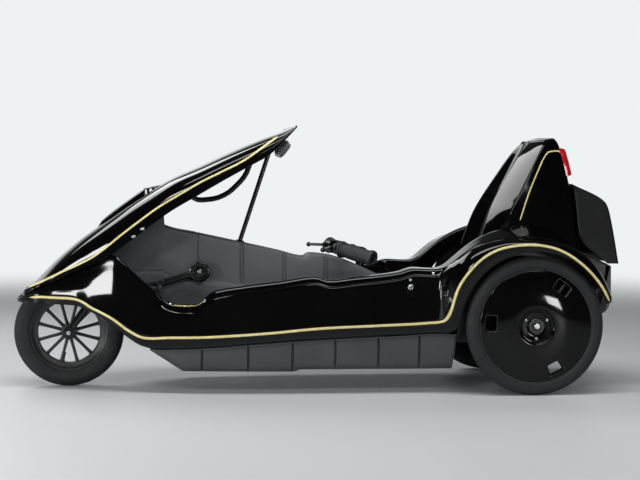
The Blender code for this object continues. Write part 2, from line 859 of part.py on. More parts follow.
def build_console():
    rows = []
    for x in console_stations():
        rows.append(console_row(x, column(CONSOLE, x, 1), column(CONSOLE, x, 2)))
    item = grid_surface("centre_console", rows, "grey_moulding", CONSOLE_WALL, True, 1.0)
    trim(item, CONSOLE[0][0], CONSOLE[-1][0])
    hole = cutter_rod((CRANK_X, -0.12, CRANK_Z), (CRANK_X, 0.12, CRANK_Z), SPINDLE_R + 0.002)
    column_hole = cutter_rod((BAR_X, 0, 0.28), (BAR_X, 0, 0.37), STEM_R + 0.0005)
    boolean(item, [hole, column_hole], "DIFFERENCE")
    smooth(item)


def build_seat():
    rows = []
    for x, middle, edge, half in SEAT:
        rise = edge - middle
        rows.append([
            (x, half, edge),
            (x, half - 0.004, middle + 0.55 * rise),
            (x, half - 0.030, middle + 0.12 * rise),
            (x, half * 0.55, middle + 0.01 * rise),
            (x, 0.0, middle),
        ])
    z, rear_x, break_x, front_x, _, break_half, front_half, dish = TAIL[0]
    rows.append([
        (break_x - 0.012, 0.2080, z - 0.0012),
        (front_x + 0.030, front_half + 0.020, z - 0.0012),
        (front_x + 0.40 * dish, front_half - 0.020, z - 0.0012),
        (front_x + 0.92 * dish, front_half * 0.50, z - 0.0012),
        (front_x + dish + 0.004, 0.0, z - 0.0012),
    ])
    item = grid_surface("seat", rows, "gloss_black", BODY_WALL, mirror=True)
    trim(item, high=z - 0.0008, axis=2)


def tail_ring(row, tilt=0.0):
    z, rear_x, break_x, front_x, rear_half, break_half, front_half, dish = row
    plan = (
        (rear_x, 0.0),
        (rear_x, rear_half * 0.6),
        (rear_x, rear_half - 0.008),
        (rear_x - 0.008, rear_half),
        (break_x + 0.012, break_half),
        (break_x, break_half - 0.001),
        (break_x - 0.50 * (break_x - front_x), break_half - 0.46 * (break_half - front_half)),
        (front_x, front_half),
        (front_x + 0.30 * dish, front_half * 0.86),
        (front_x + 0.80 * dish, front_half * 0.62),
        (front_x + dish, front_half * 0.30),
        (front_x + dish, 0.0),
    )
    return [(x, y, z + tilt * (x - 0.62)) for x, y in plan]


def tail_rear(z):
    return column(TAIL, z, 1)


def build_tail():
    rings = [tail_ring(row, 0.12 if row[0] > 0.700 else 0.0) for row in TAIL]
    top = rings[-1]
    middle_x = sum(p[0] for p in top) / len(top)
    rings.append([
        (middle_x + (x - middle_x) * 0.86, y * 0.80, z + 0.005) for x, y, z in top])
    item = ring_loft("tail_fairing", rings, "gloss_black", mirror=True)
    item.modifiers.clear()
    shape = bmesh.new()
    shape.from_mesh(item.data)
    shape.verts.ensure_lookup_table()
    count = len(rings[0])
    first = (len(rings) - 1) * count
    shape.faces.new([shape.verts[first + j] for j in range(count)])
    shape.to_mesh(item.data)
    shape.free()
    add_modifier(item, "MIRROR", use_axis=(False, True, False), merge_threshold=0.00005)
    add_modifier(item, "SOLIDIFY", thickness=BODY_WALL, offset=-1.0, use_even_offset=True)
    trim(item, low=TAIL[0][0], axis=2)


LAMP_LEVELS = (0.619, 0.652, 0.688)
LAMP_DEPTH = 0.0125


def build_tail_lamp():
    rings = []
    for z in LAMP_LEVELS:
        back = tail_rear(z) + 0.0008
        half = column(TAIL, z, 4) - 0.012
        rings.append([
            (back, -half, z), (back + LAMP_DEPTH, -half + 0.003, z),
            (back + LAMP_DEPTH, half - 0.003, z), (back, half, z)])
    ring_loft("tail_lamp", rings, "red_lens", cap_start=True, cap_end=True)


def plan_loop(rows, rear, inset=0.0):
    """A closed plan outline from half widths, front to rear and back."""
    right = [(x, half - inset) for x, half in rows]
    left = [(x, -y) for x, y in reversed(right)]
    return right + left


def build_rear_body():
    """Tray between the rear wheels, its walls rising to the arches."""
    sides = [(row[0], row[1]) for row in REAR_BODY]
    tops = [row[2] for row in REAR_BODY]
    loop = plan_loop(sides, REAR_END)
    heights = tops + list(reversed(tops))
    rings = []
    for inset, level in ((0.020, 0.0), (0.004, 0.08), (0.0, 0.35), (0.0, 1.0)):
        ring = []
        for (x, y), top in zip(loop, heights):
            sign = 1 if y > 0 else -1
            shift = inset if x < 0.5 else -inset
            base = float(np.interp(x, [row[0] for row in REAR_BASE], [row[1] for row in REAR_BASE]))
            ring.append((x + shift * (x < 0.39 or x > 0.83), y - sign * inset,
                         base + (top - base) * level))
        rings.append(ring)
    item = ring_loft("rear_body", rings, "black_plastic")
    shape = bmesh.new()
    shape.from_mesh(item.data)
    shape.verts.ensure_lookup_table()
    count = len(loop)
    for i in range(count // 2 - 1):
        corners = (i, i + 1, count - 2 - i, count - 1 - i)
        shape.faces.new([shape.verts[k] for k in corners])
    bmesh.ops.recalc_face_normals(shape, faces=shape.faces)
    shape.to_mesh(item.data)
    shape.free()
    add_modifier(item, "SOLIDIFY", thickness=BODY_WALL, offset=-1.0, use_even_offset=True)
    bake(item)
    hole = cutter_rod((REAR_X, -0.3, REAR_HUB_Z), (REAR_X, 0.3, REAR_HUB_Z), AXLE_R + 0.0005)
    boolean(item, [hole], "DIFFERENCE")
    smooth(item)


BIN_FRONT = 0.706
BIN_REAR = 0.8445
BIN_HALF = 0.1935
BIN_FLOOR_Z = 0.238


def build_boot_bin():
    floor = BIN_FLOOR_Z
    rings = []
    for z, front, top_rear in ((floor, BIN_FRONT, floor), (0.330, BIN_FRONT, 0.330), (0.398, 0.7525, 0.352)):
        ring = []
        tuck = 0.008 if z == floor else 0.0
        for x, half in ((front, BIN_HALF - 0.02), (front + 0.02, BIN_HALF), (0.800, BIN_HALF),
                        (BIN_REAR - 0.012 - tuck, BIN_HALF), (BIN_REAR - tuck, BIN_HALF - 0.012)):
            share = (x - front) / (BIN_REAR - front)
            ring.append((x, half, z + (top_rear - z) * share))
        ring += [(x, -y, zz) for x, y, zz in reversed(ring)]
        rings.append(ring)
    item = ring_loft("boot_bin", rings, "black_plastic", cap_start=True)
    shape = bmesh.new()
    shape.from_mesh(item.data)
    bmesh.ops.recalc_face_normals(shape, faces=shape.faces)
    shape.to_mesh(item.data)
    shape.free()
    add_modifier(item, "SOLIDIFY", thickness=0.0025, offset=-1.0, use_even_offset=True)


# Boot lid side outline: x, z, half width
LID = (
    (0.7385, 0.5915, 0.168),
    (0.8380, 0.5415, 0.176),
    (0.8555, 0.4700, 0.187),
    (0.8720, 0.3610, 0.198),
)
LID_FRONT = ((0.7440, 0.5860), (0.7560, 0.4310))


def build_boot_lid():
    """Roof and rear of the lid as one bent sheet, with its two cheeks."""
    outline = [(x, z, half) for x, z, half in LID]
    lid = bmesh.new()
    right = [lid.verts.new((x, half, z)) for x, z, half in outline]
    left = [lid.verts.new((x, -half, z)) for x, z, half in outline]
    foot_r = lid.verts.new((LID_FRONT[1][0], 0.196, LID_FRONT[1][1]))
    foot_l = lid.verts.new((LID_FRONT[1][0], -0.196, LID_FRONT[1][1]))
    low_r = lid.verts.new((0.8385, 0.198, 0.3612))
    low_l = lid.verts.new((0.8385, -0.198, 0.3612))
    for i in range(len(outline) - 1):
        lid.faces.new((left[i], left[i + 1], right[i + 1], right[i]))
    lid.faces.new((right[0], right[1], right[2], foot_r))
    lid.faces.new((right[2], right[3], low_r, foot_r))
    lid.faces.new((left[0], foot_l, left[2], left[1]))
    lid.faces.new((left[2], foot_l, low_l, left[3]))
    item = from_bmesh("boot_lid", lid, "black_plastic")
    add_modifier(item, "SOLIDIFY", thickness=0.003, offset=-1.0, use_even_offset=True)
    bake(item)
    barrel = rod("barrel", (HINGE_X, -0.150, HINGE_Z), (HINGE_X, 0.150, HINGE_Z), HINGE_R, None, CUTTERS, 16)
    boolean(item, [barrel], "UNION")
    smooth(item, 30)
    set_origin(item, (HINGE_X, 0.0, HINGE_Z))


def wheel_rim(name, centre, radius, width, spokes, material, depth=RIM_DEPTH):
    """A rim channel, a hub and spokes, joined in one moulding."""
    half = width / 2
    inner = radius - depth
    ring = turned("ring", (
        (radius, -half), (radius - 0.006, -half + 0.007), (radius - 0.006, half - 0.007), (radius, half),
        (inner, half * 0.62), (inner, -half * 0.62)), centre, None, WHEEL_SEGMENTS, CUTTERS)
    hub_half = half + 0.0010
    hub = turned("hub", (
        (HUB_R, -hub_half), (HUB_R, hub_half),
        (AXLE_R + RUNNING_GAP, hub_half), (AXLE_R + RUNNING_GAP, -hub_half)),
        centre, None, 24, CUTTERS)
    pieces = [ring, hub]
    for k in range(spokes):
        turn = 2 * math.pi * (k + 0.5) / spokes
        reach = inner + 0.002 - HUB_R + 0.004
        middle = HUB_R - 0.004 + reach / 2
        place = Vector(centre) + Vector((math.cos(turn), 0, math.sin(turn))) * middle
        tilt = Matrix.Rotation(-turn, 3, "Y")
        pieces.append(box("spoke", (reach, SPOKE_T, SPOKE_W), place, None, CUTTERS, tilt))
    item = union(name, pieces, material)
    set_origin(item, centre)
    return item


def tyre(name, centre, radius, width, rim_radius):
    """A round-shouldered tyre seated on its rim."""
    half = width / 2
    bead = rim_radius + SEAT_GAP
    depth = radius - bead
    profile = [(bead, -half * 0.82)]
    for k in range(9):
        turn = math.pi * (k / 8) - math.pi / 2
        profile.append((
            bead + depth * (0.45 + 0.55 * math.cos(turn) ** 0.8 if abs(math.cos(turn)) > 1e-9 else 0.45),
            half * math.sin(turn)))
    profile.append((bead, half * 0.82))
    item = turned(name, profile, centre, "tyre_rubber")
    set_origin(item, centre)
    return item


def wheel_cover(name, centre, sign):
    """A domed disc outside the rim, with three windows and a hub recess."""
    start = sign * (REAR_RIM_W / 2 + 0.0008)
    rise = COVER_DOME
    outer = []
    steps = 4
    for k in range(steps + 1):
        t = k / steps
        r = COVER_R + (COVER_RECESS_R + 0.006 - COVER_R) * t
        outer.append((r, start + sign * rise * (1 - (1 - t) ** 2.2)))
    floor = start + sign * (rise - COVER_RECESS_DEPTH)
    outer.append((COVER_RECESS_R, floor + sign * 0.002))
    outer.append((AXLE_R + 0.004, floor + sign * 0.001))
    inner = [(r, y - sign * COVER_WALL) for r, y in reversed(outer)]
    inner[0] = (outer[-1][0], outer[-1][1] - sign * COVER_WALL)
    profile = [(r, y) for r, y in outer] + inner
    item = turned(name, profile, centre, "gloss_black")
    cutters = []
    for k in range(3):
        turn = math.radians(176.0 + 120.0 * k)
        place = Vector(centre) + Vector((math.cos(turn), 0, math.sin(turn))) * WINDOW_R
        tilt = Matrix.Rotation(-turn, 3, "Y")
        cutters.append(box("window", (WINDOW_SIZE[0], 0.08, WINDOW_SIZE[1]), place, None, CUTTERS, tilt))
    boolean(item, cutters, "DIFFERENCE")
    smooth(item)
    set_origin(item, centre)
    return item


def build_wheels():
    wheel_rim("front_rim", FRONT_HUB, FRONT_RIM_R, FRONT_RIM_W, FRONT_SPOKES, "black_plastic",
              FRONT_RIM_DEPTH)
    tyre("front_tyre", FRONT_HUB, FRONT_TYRE_R, FRONT_TYRE_W, FRONT_RIM_R)
    for side, sign in (("left", -1), ("right", 1)):
        centre = (REAR_X, sign * REAR_Y, REAR_HUB_Z)
        wheel_rim("rear_rim_" + side, centre, REAR_RIM_R, REAR_RIM_W, REAR_SPOKES, "black_plastic")
        tyre("rear_tyre_" + side, centre, REAR_TYRE_R, REAR_TYRE_W, REAR_RIM_R)
        wheel_cover("wheel_cover_" + side, centre, sign)


def build_axles():
    end = HALF_WIDTH
    nut_in = REAR_Y + REAR_RIM_W / 2 + 0.0012 + COVER_DOME - COVER_RECESS_DEPTH + 0.002
    profile = (
        (0.0, -end), (AXLE_R * 0.8, -end), (AXLE_R * 0.8, -end + 0.004),
        (NUT_R * 0.62, -end + 0.004), (NUT_R * 0.62, -nut_in - 0.003), (NUT_R, -nut_in - 0.003),
        (NUT_R, -nut_in), (AXLE_R, -nut_in),
        (AXLE_R, nut_in), (NUT_R, nut_in), (NUT_R, nut_in + 0.003), (NUT_R * 0.62, nut_in + 0.003),
        (NUT_R * 0.62, end - 0.004), (AXLE_R * 0.8, end - 0.004), (AXLE_R * 0.8, end), (0.0, end))
    turned("rear_axle", profile, (REAR_X, 0.0, REAR_HUB_Z), "bright_steel", 18, None, False)
    tip = BLADE_Y + 0.018
    nut = BLADE_Y + DROPOUT_T / 2 + SEAT_GAP
    front = (
        (0.0, -tip), (AXLE_R, -tip), (NUT_R * 0.7, -tip + 0.002), (NUT_R * 0.7, -nut),
        (AXLE_R, -nut), (AXLE_R, nut), (NUT_R * 0.7, nut),
        (NUT_R * 0.7, tip - 0.002), (AXLE_R, tip), (0.0, tip))
    turned("front_axle", front, FRONT_HUB, "bright_steel", 18, None, False)


def build_fork():
    """Blades, crown and steerer, turning on the head tube's axis."""
    crown = steer_point(CROWN_HEIGHT)
    lean = Matrix.Rotation(RAKE, 3, "Y")
    pieces = [box("crown", (0.034, 2 * BLADE_Y + 2 * BLADE_R, CROWN_T), crown, None, CUTTERS, lean)]
    pieces.append(rod("steerer", steer_point(CROWN_HEIGHT - 0.004), steer_point(HEAD_HIGH + 0.012),
                      STEERER_R, None, CUTTERS, 20))
    for sign in (-1, 1):
        top = steer_point(CROWN_HEIGHT, sign * BLADE_Y)
        foot = FRONT_HUB + Vector((0, sign * BLADE_Y, 0))
        pieces.append(rod("blade", top, foot, BLADE_R, None, CUTTERS, 14))
        pieces.append(rod("dropout", foot + Vector((0, -DROPOUT_T / 2, 0)),
                          foot + Vector((0, DROPOUT_T / 2, 0)), 0.016, None, CUTTERS, 18))
    item = union("front_fork", pieces, "black_steel")
    hole = cutter_rod(FRONT_HUB + Vector((0, -0.1, 0)), FRONT_HUB + Vector((0, 0.1, 0)),
                      AXLE_R + SEAT_GAP)
    boolean(item, [hole], "DIFFERENCE")
    smooth(item)
    set_origin(item, STEER_FOOT)


def build_brake():
    """Rim brake bolted to the fork crown's front, its arms down beside the tyre."""
    face = steer_point(CROWN_HEIGHT + 0.0045) + Vector((-math.cos(RAKE), 0, math.sin(RAKE))) * 0.0176
    lean = Matrix.Rotation(RAKE, 3, "Y")
    down = -STEER_AXIS
    forward = Vector((-math.cos(RAKE), 0, math.sin(RAKE)))
    body = box("bridge", (0.016, 0.082, 0.016), face + forward * 0.008, None, CUTTERS, lean)
    pieces = [body]
    for sign in (-1, 1):
        shoulder = face + forward * 0.012 + Vector((0, sign * 0.0365, 0))
        pieces.append(beam("arm", shoulder, shoulder + down * 0.0835, 0.007, 0.009, CUTTERS))
        shoe = shoulder + down * 0.0835 + Vector((0, -sign * 0.0050, 0))
        pieces.append(box("shoe", (0.020, 0.0075, 0.009), shoe, None, CUTTERS, lean))
    union("front_brake", pieces, "black_steel")


# Frame's spine, from the head tube down behind the front wheel and along the floor: x, z
BACKBONE = (
    (FRONT_X + 0.1285, 0.3620),
    (FRONT_X + 0.2135, 0.3320),
    (FRONT_X + 0.3135, 0.1600),
    (FRONT_X + 0.3635, 0.0953),
    (0.1800, 0.0953),
)


def build_chassis():
    """Y frame: head tube, backbone, crank post, two rear arms and the battery plate."""
    pieces = [rod("head", steer_point(HEAD_LOW), steer_point(HEAD_HIGH), HEAD_R, None, CUTTERS, 24)]
    spine = [Vector((x, 0, z)) for x, z in BACKBONE]
    for a, b in zip(spine[:-1], spine[1:]):
        pieces.append(beam("spine", a, b, BEAM_W, BEAM_H, CUTTERS))
    pieces.append(box("post", (0.026, 0.024, CRANK_Z - 0.090),
                      (CRANK_X, 0, (CRANK_Z + 0.090) / 2), None, CUTTERS))
    pieces.append(rod("shell", (CRANK_X, -0.052, CRANK_Z), (CRANK_X, 0.052, CRANK_Z),
                      SHELL_R, None, CUTTERS, 20))
    for sign in (-1, 1):
        path = [Vector((0.160, sign * 0.006, 0.0965)), Vector((REAR_X - 0.2405, sign * 0.130, ARM_Z)),
                Vector((REAR_X - 0.1605, sign * ARM_Y, ARM_Z)), Vector((REAR_X + 0.0695, sign * ARM_Y, ARM_Z))]
        heights = (BEAM_H - 0.004, BEAM_H - 0.002, BEAM_H)
        for a, b, height in zip(path[:-1], path[1:], heights):
            pieces.append(beam("arm", a, b, BEAM_W, height, CUTTERS))
    top = ARM_Z + BEAM_H / 2
    pieces.append(box("plate", (0.150, 2 * ARM_Y, TRAY_PLATE_T),
                      (0.600, 0, top + TRAY_PLATE_T / 2 - 0.0002), None, CUTTERS))
    item = union("chassis_frame", pieces, "black_steel")
    holes = [
        cutter_rod(steer_point(HEAD_LOW - 0.02), steer_point(HEAD_HIGH + 0.02), STEERER_R + RUNNING_GAP),
        cutter_rod((CRANK_X, -0.06, CRANK_Z), (CRANK_X, 0.06, CRANK_Z), SPINDLE_R + RUNNING_GAP),
        cutter_rod((REAR_X, -0.3, REAR_HUB_Z), (REAR_X, 0.3, REAR_HUB_Z), AXLE_R + SEAT_GAP),
    ]
    boolean(item, holes, "DIFFERENCE")
    smooth(item)


def build_battery():
    base = ARM_Z + BEAM_H / 2 + TRAY_PLATE_T + 0.0003
    item = box("battery", (0.130, 0.240, 0.150), (0.600, 0, base + 0.075), "black_plastic")
    add_modifier(item, "BEVEL", width=0.004, segments=2, limit_method="ANGLE")


def crank_tip(sign):
    turn = math.radians(CRANK_ANGLE_DEG)
    run = Vector((-math.cos(turn), 0, -math.sin(turn))) * CRANK_LENGTH
    return Vector((CRANK_X, 0, CRANK_Z)) + (run if sign < 0 else -run)


def build_crank():
    """Spindle, two arms half a turn apart and the pedal pins."""
    centre = Vector((CRANK_X, 0, CRANK_Z))
    reach = CRANK_Y + CRANK_ARM_T / 2
    pieces = [rod("spindle", centre - Vector((0, reach, 0)), centre + Vector((0, reach, 0)),
                  SPINDLE_R, None, CUTTERS, 20)]
    for sign in (-1, 1):
        side = Vector((0, sign * CRANK_Y, 0))
        thick = Vector((0, CRANK_ARM_T / 2 + 0.002, 0))
        tip = crank_tip(sign)
        pieces.append(rod("boss", centre + side - thick, centre + side + thick,
                          CRANK_BOSS_R, None, CUTTERS, 24))
        pieces.append(beam("arm", centre + side, tip + side, CRANK_ARM_T, CRANK_ARM_W, CUTTERS))
        pieces.append(rod("pin", tip + Vector((0, sign * (CRANK_Y - 0.003), 0)),
                          tip + Vector((0, sign * (CRANK_Y + 0.016 + PEDAL_SIZE[1]), 0)),
                          PEDAL_PIN_R, None, CUTTERS, 16))
    item = union("crank", pieces, "black_steel")
    set_origin(item, centre)


def build_pedals():
    for side, sign in (("left", -1), ("right", 1)):
        tip = crank_tip(sign)
        centre = tip + Vector((0, sign * (CRANK_Y + 0.012 + PEDAL_SIZE[1] / 2), 0))
        item = box("pedal_" + side, PEDAL_SIZE, centre, "black_plastic")
        add_modifier(item, "BEVEL", width=0.005, segments=2, limit_method="ANGLE")
        bake(item)
        hole = cutter_rod(centre - Vector((0, 0.08, 0)), centre + Vector((0, 0.08, 0)),
                          PEDAL_PIN_R + RUNNING_GAP)
        slots = []
        for k in (-1, 1):
            slots.append(box("slot", (0.018, 0.050, 0.06),
                             centre + Vector((k * 0.021, 0, 0)), None, CUTTERS))
        boolean(item, [hole] + slots, "DIFFERENCE")
        smooth(item)
        set_origin(item, centre)


def aimed(item, start, run):
    """Turns a piece made along Y to lie along a run from a start."""
    turn = Vector((0, 1, 0)).rotation_difference(run).to_matrix().to_4x4()
    item.data.transform(Matrix.Translation(start) @ turn)
    return item


def bar_path(sign):
    """Half of the bar: out from its boss, round one bend and back along the grip."""
    side = Vector((1, sign, 1))
    run = Vector(GRIP_RUN).normalized() * side
    end = Vector(GRIP_END) * side
    corner = end - run * (GRIP_LENGTH + BAR_BEND + 0.002)
    boss = Vector((BAR_X, 0, BAR_Z))
    reach = (corner - boss).normalized()
    bend = []
    for k in range(7):
        t = k / 6
        bend.append((1 - t) ** 2 * (corner - reach * BAR_BEND) + 2 * t * (1 - t) * corner
                    + t * t * (corner + run * BAR_BEND))
    return [boss] + bend + [end - run * 0.004], corner, reach, run, end


def build_handlebar():
    """Low swept bar across the tunnel, on a column through the tunnel's roof."""
    z = BAR_Z
    left = bar_path(-1)[0]
    right = bar_path(1)[0]
    bar = tube("bar", list(reversed(left)) + right[1:], BAR_R, None, 3, CUTTERS, "VECTOR")
    pieces = [
        rod("boss", (BAR_X, -0.040, z), (BAR_X, 0.040, z), 0.0210, None, CUTTERS, 20),
        bar,
        rod("stem", (BAR_X, 0, 0.300), (BAR_X, 0, z), STEM_R, None, CUTTERS, 20),
    ]
    item = union("handlebar", pieces, "black_steel")
    set_origin(item, (BAR_X, 0, z))
    bore = BAR_R + SEAT_GAP
    for side, sign in (("left", -1), ("right", 1)):
        _, corner, reach, run, end = bar_path(sign)
        profile = (
            (bore, 0.0), (GRIP_R + 0.003, 0.0), (GRIP_R + 0.003, 0.006), (GRIP_R, 0.008),
            (GRIP_R + 0.0025, 0.012), (GRIP_R, 0.016), (GRIP_R - 0.001, GRIP_LENGTH - 0.014),
            (GRIP_R + 0.002, GRIP_LENGTH - 0.011), (GRIP_R + 0.002, GRIP_LENGTH - 0.003),
            (GRIP_R - 0.001, GRIP_LENGTH), (bore, GRIP_LENGTH))
        grip = turned("grip_" + side, profile, (0, 0, 0), "grip_rubber", 24)
        aimed(grip, end - run * GRIP_LENGTH, run)
        hold = corner - reach * (BAR_BEND + 0.012)
        clamp = turned("clamp", [
            (bore, -0.009), (bore, 0.009), (0.017, 0.009), (0.017, -0.009)],
            (0, 0, 0), None, 20, CUTTERS)
        aimed(clamp, hold, reach)
        tip = Vector((LEVER_TIP[0], sign * LEVER_TIP[1], LEVER_TIP[2]))
        ahead = Vector((-reach.y * sign, reach.x * sign, 0)).normalized()
        root = hold + ahead * 0.030 + Vector((0, 0, 0.003))
        arm = rod("arm", hold + ahead * 0.0125, root, 0.007, None, CUTTERS, 12)
        blade = rod("blade", root, tip, LEVER_R, None, CUTTERS, 12)
        ball = bmesh.new()
        bmesh.ops.create_uvsphere(ball, u_segments=10, v_segments=6, radius=0.0075)
        bmesh.ops.translate(ball, vec=tip, verts=ball.verts)
        ball_item = from_bmesh("ball", ball, None, CUTTERS)
        union("brake_lever_" + side, [clamp, arm, blade, ball_item], "black_steel")


def above_hood():
    """Everything above the hood's underside, to trim what stands under it."""
    drop = HOOD_WALL * 1.17 + SEAT_GAP
    rings = []
    for row in HOOD[7:]:
        right = [(x, y, z - drop) for x, y, z in hood_row(row, 7)]
        left = [(x, -y, z) for x, y, z in reversed(right[:-1])]
        rings.append(right + left + [(row[3], -row[1], 1.0), (row[3], row[1], 1.0)])
    item = ring_loft("above_hood", rings, "gloss_black", cap_start=True, cap_end=True)
    face_out(item)
    return item


def build_stay():
    """The stay from the tunnel's roof to the hood, with its two feet."""
    foot = Vector((-0.2150, 0, 0.4210))
    head = Vector((-0.1140, 0, 0.7300))
    pieces = [
        rod("rod", foot + Vector((0, 0, 0.002)), head, 0.0066, None, CUTTERS, 14),
        box("base", (0.022, 0.040, 0.004), foot + Vector((0, 0, 0.0006)), None, CUTTERS,
            Matrix.Rotation(math.atan(0.217), 3, "Y")),
    ]
    item = union("hood_stay", pieces, "black_steel")
    boolean(item, [above_hood()], "DIFFERENCE")
    smooth(item)


def build_handle():
    """Bent tube under the hood, both ends at its underside."""
    points = [(-0.384, 0, 0.6250), (-0.352, 0, 0.5480), (-0.310, 0, 0.5430), (-0.262, 0, 0.5560),
              (-0.226, 0, 0.5840), (-0.196, 0, 0.6220), (-0.170, 0, 0.7150)]
    item = tube("hood_handle", points, 0.0078, "black_steel")
    boolean(item, [above_hood()], "DIFFERENCE")
    smooth(item)


def build_mirror():
    """Rounded mirror housing hanging under the hood's tip."""
    shape = bmesh.new()
    bmesh.ops.create_uvsphere(shape, u_segments=16, v_segments=10, radius=1.0)
    bmesh.ops.scale(shape, vec=(0.017, 0.062, 0.029), verts=shape.verts)
    bmesh.ops.rotate(shape, matrix=Matrix.Rotation(math.radians(38), 3, "Y"), verts=shape.verts)
    bmesh.ops.translate(shape, vec=(-0.0915, 0.0, 0.6925), verts=shape.verts)
    body = from_bmesh("housing", shape, None, CUTTERS)
    stem = rod("stem", (-0.093, 0, 0.700), (-0.099, 0, 0.7450), 0.006, None, CUTTERS, 14)
    item = union("hood_mirror", [body, stem], "smoked_plastic")
    boolean(item, [above_hood()], "DIFFERENCE")
    smooth(item)


def build_key_switch():
    centre = Vector((0.245, 0, 0.308))
    row = sill_row(centre.x)
    flank = float(np.interp(centre.z, [row[3][2], row[4][2]], [row[3][1], row[4][1]]))
    start = flank + SEAT_GAP + 0.0009
    rod("key_switch", (centre.x, -start, centre.z), (centre.x, -start - 0.009, centre.z + 0.001),
        0.010, "bright_steel", None, 18, 0.008)


build_nose()
build_sills()
build_arches()
build_hood()
build_hood_pod()
build_tub()
build_toe_board()
build_console()
build_seat()
build_tail()
build_tail_lamp()
build_rear_body()
build_boot_bin()
build_boot_lid()
build_wheels()
build_axles()
build_fork()
build_brake()
build_chassis()
build_battery()
build_crank()
build_pedals()
build_handlebar()
build_stay()
build_handle()
build_mirror()
build_key_switch()
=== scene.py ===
"""Looks of a low three wheeled car: black painted shell with pale gold coach lines,
grey moulded tub and tunnel, spoked front wheel and disc covered rear wheels.

Metres, front towards -X, the car's right hand towards +Y, ground at z = 0.
"""

import math

import bmesh
import bpy
import numpy as np
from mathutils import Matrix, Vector
from mathutils.bvhtree import BVHTree


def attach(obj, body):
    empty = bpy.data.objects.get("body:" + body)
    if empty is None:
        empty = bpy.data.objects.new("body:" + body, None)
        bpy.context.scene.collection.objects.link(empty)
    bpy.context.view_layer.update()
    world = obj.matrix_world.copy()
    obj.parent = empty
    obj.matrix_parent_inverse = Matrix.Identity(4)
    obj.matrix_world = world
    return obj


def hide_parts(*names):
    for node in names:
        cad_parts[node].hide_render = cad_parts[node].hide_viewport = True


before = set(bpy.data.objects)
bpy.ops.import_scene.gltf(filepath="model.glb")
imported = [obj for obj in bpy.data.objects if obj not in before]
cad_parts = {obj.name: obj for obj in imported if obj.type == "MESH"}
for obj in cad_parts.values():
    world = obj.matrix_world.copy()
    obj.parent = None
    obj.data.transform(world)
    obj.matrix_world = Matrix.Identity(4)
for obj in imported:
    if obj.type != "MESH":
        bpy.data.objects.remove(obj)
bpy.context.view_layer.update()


def mm(rows):
    """A table written in millimetres, in metres."""
    return np.array(rows) / 1000.0


BODY = "car_body"
WALL = 0.003
PAINT_LIFT = 0.00045
SIDES = (("left", -1), ("right", 1))

# Wheels
FRONT_X = -0.7135
FRONT_R = 0.1585
REAR_X = 0.5905
REAR_Z = 0.195
REAR_Y = 0.3365
# Rear disc cover: where its edge lies from the wheel's middle, and how far it domes out
COVER_EDGE = 0.0178
COVER_DOME = 0.013
COVER_FLOOR = COVER_EDGE + COVER_DOME - 0.009
COVER_STEPS = 288
FRONT_HUB = (FRONT_X, 0.0, FRONT_R)

# Crank
CRANK_HUB = np.array((-0.337, 0.0, 0.336))
CRANK_Y = 0.084
CRANK_TURN = math.radians(17.0)
CRANK_REACH = 0.155

# Nose shell: x, half width, lower edge z, line z, top edge z
NOSE = mm((
    (-864, 0, 249, 255, 259), (-858, 36, 248.5, 258, 262.5), (-840, 70, 247.5, 265, 270),
    (-805, 102, 246.5, 271, 285), (-755, 128, 247, 272.2, 307), (-700, 150, 244.5, 268.8, 334),
    (-650, 169, 225, 242, 360), (-590, 193, 183.5, 211.5, 390), (-565, 203, 166.5, 195.5, 371),
    (-511, 223, 133, 162.5, 322), (-470, 237, 125, 157.7, 288)))
# Sill: x, half width, lower edge z, line z, top edge z, inner wall half width
SILL = mm((
    (-433.7, 248, 125.5, 160, 260, 203), (-410, 254.5, 126.2, 160.6, 253, 209.5),
    (-385, 261, 127.2, 161.2, 251.5, 216), (-350, 269, 129, 162.2, 252.5, 224.5),
    (-330, 273, 130.3, 162.8, 270, 228), (-310, 275.5, 131.8, 163.5, 289, 231),
    (-220, 288, 139.2, 169, 306, 243), (-120, 298, 147.8, 176.8, 319, 253),
    (-20, 303, 154.5, 186.5, 333, 258), (15, 304, 156, 188.5, 322, 259), (90, 306, 159.8, 192, 330, 258),
    (160, 308, 163.5, 195.5, 337, 250), (216, 309, 166, 198.5, 345, 238),
    (255, 310, 167.5, 200.3, 356, 226), (290, 310, 169, 202, 354, 219),
    (330, 311, 171.5, 205.5, 353, 211.5)))
# Angles of the arch's stations about the rear wheel
ARCH_TURN = np.array((187.0, 172.0, 157.0, 140.0, 122.0, 105.0, 90.0, 75.0, 60.0, 45.0, 30.0, 17.0))
# Wheel arch at those angles: lip radius, line radius, lip half width, crest x, crest z, deck z, skirt z
ARCH = mm((
    (213.5, 245, 335, 350, 361, 360, 305), (212.5, 244, 352, 368, 376, 376, 315),
    (211.5, 246.5, 362, 392, 396, 396, 335), (210.5, 245.7, 367, 424, 415.5, 421, 370),
    (209.5, 243.6, 369, 470, 429, 446.5, 410), (208.5, 234, 370, 520, 435, 463, 430),
    (208, 226.5, 370, 590, 435, 473.5, 432), (208, 222.2, 370, 640, 431, 467, 425),
    (208, 218.5, 370, 690, 419, 445, 405), (208, 216.5, 368, 735, 392, 409, 370),
    (209, 217.5, 366, 775, 344, 353, 318), (211, 220.5, 362, 802, 288, 292, 262)))
ARCH_INNER_Y = 0.2085
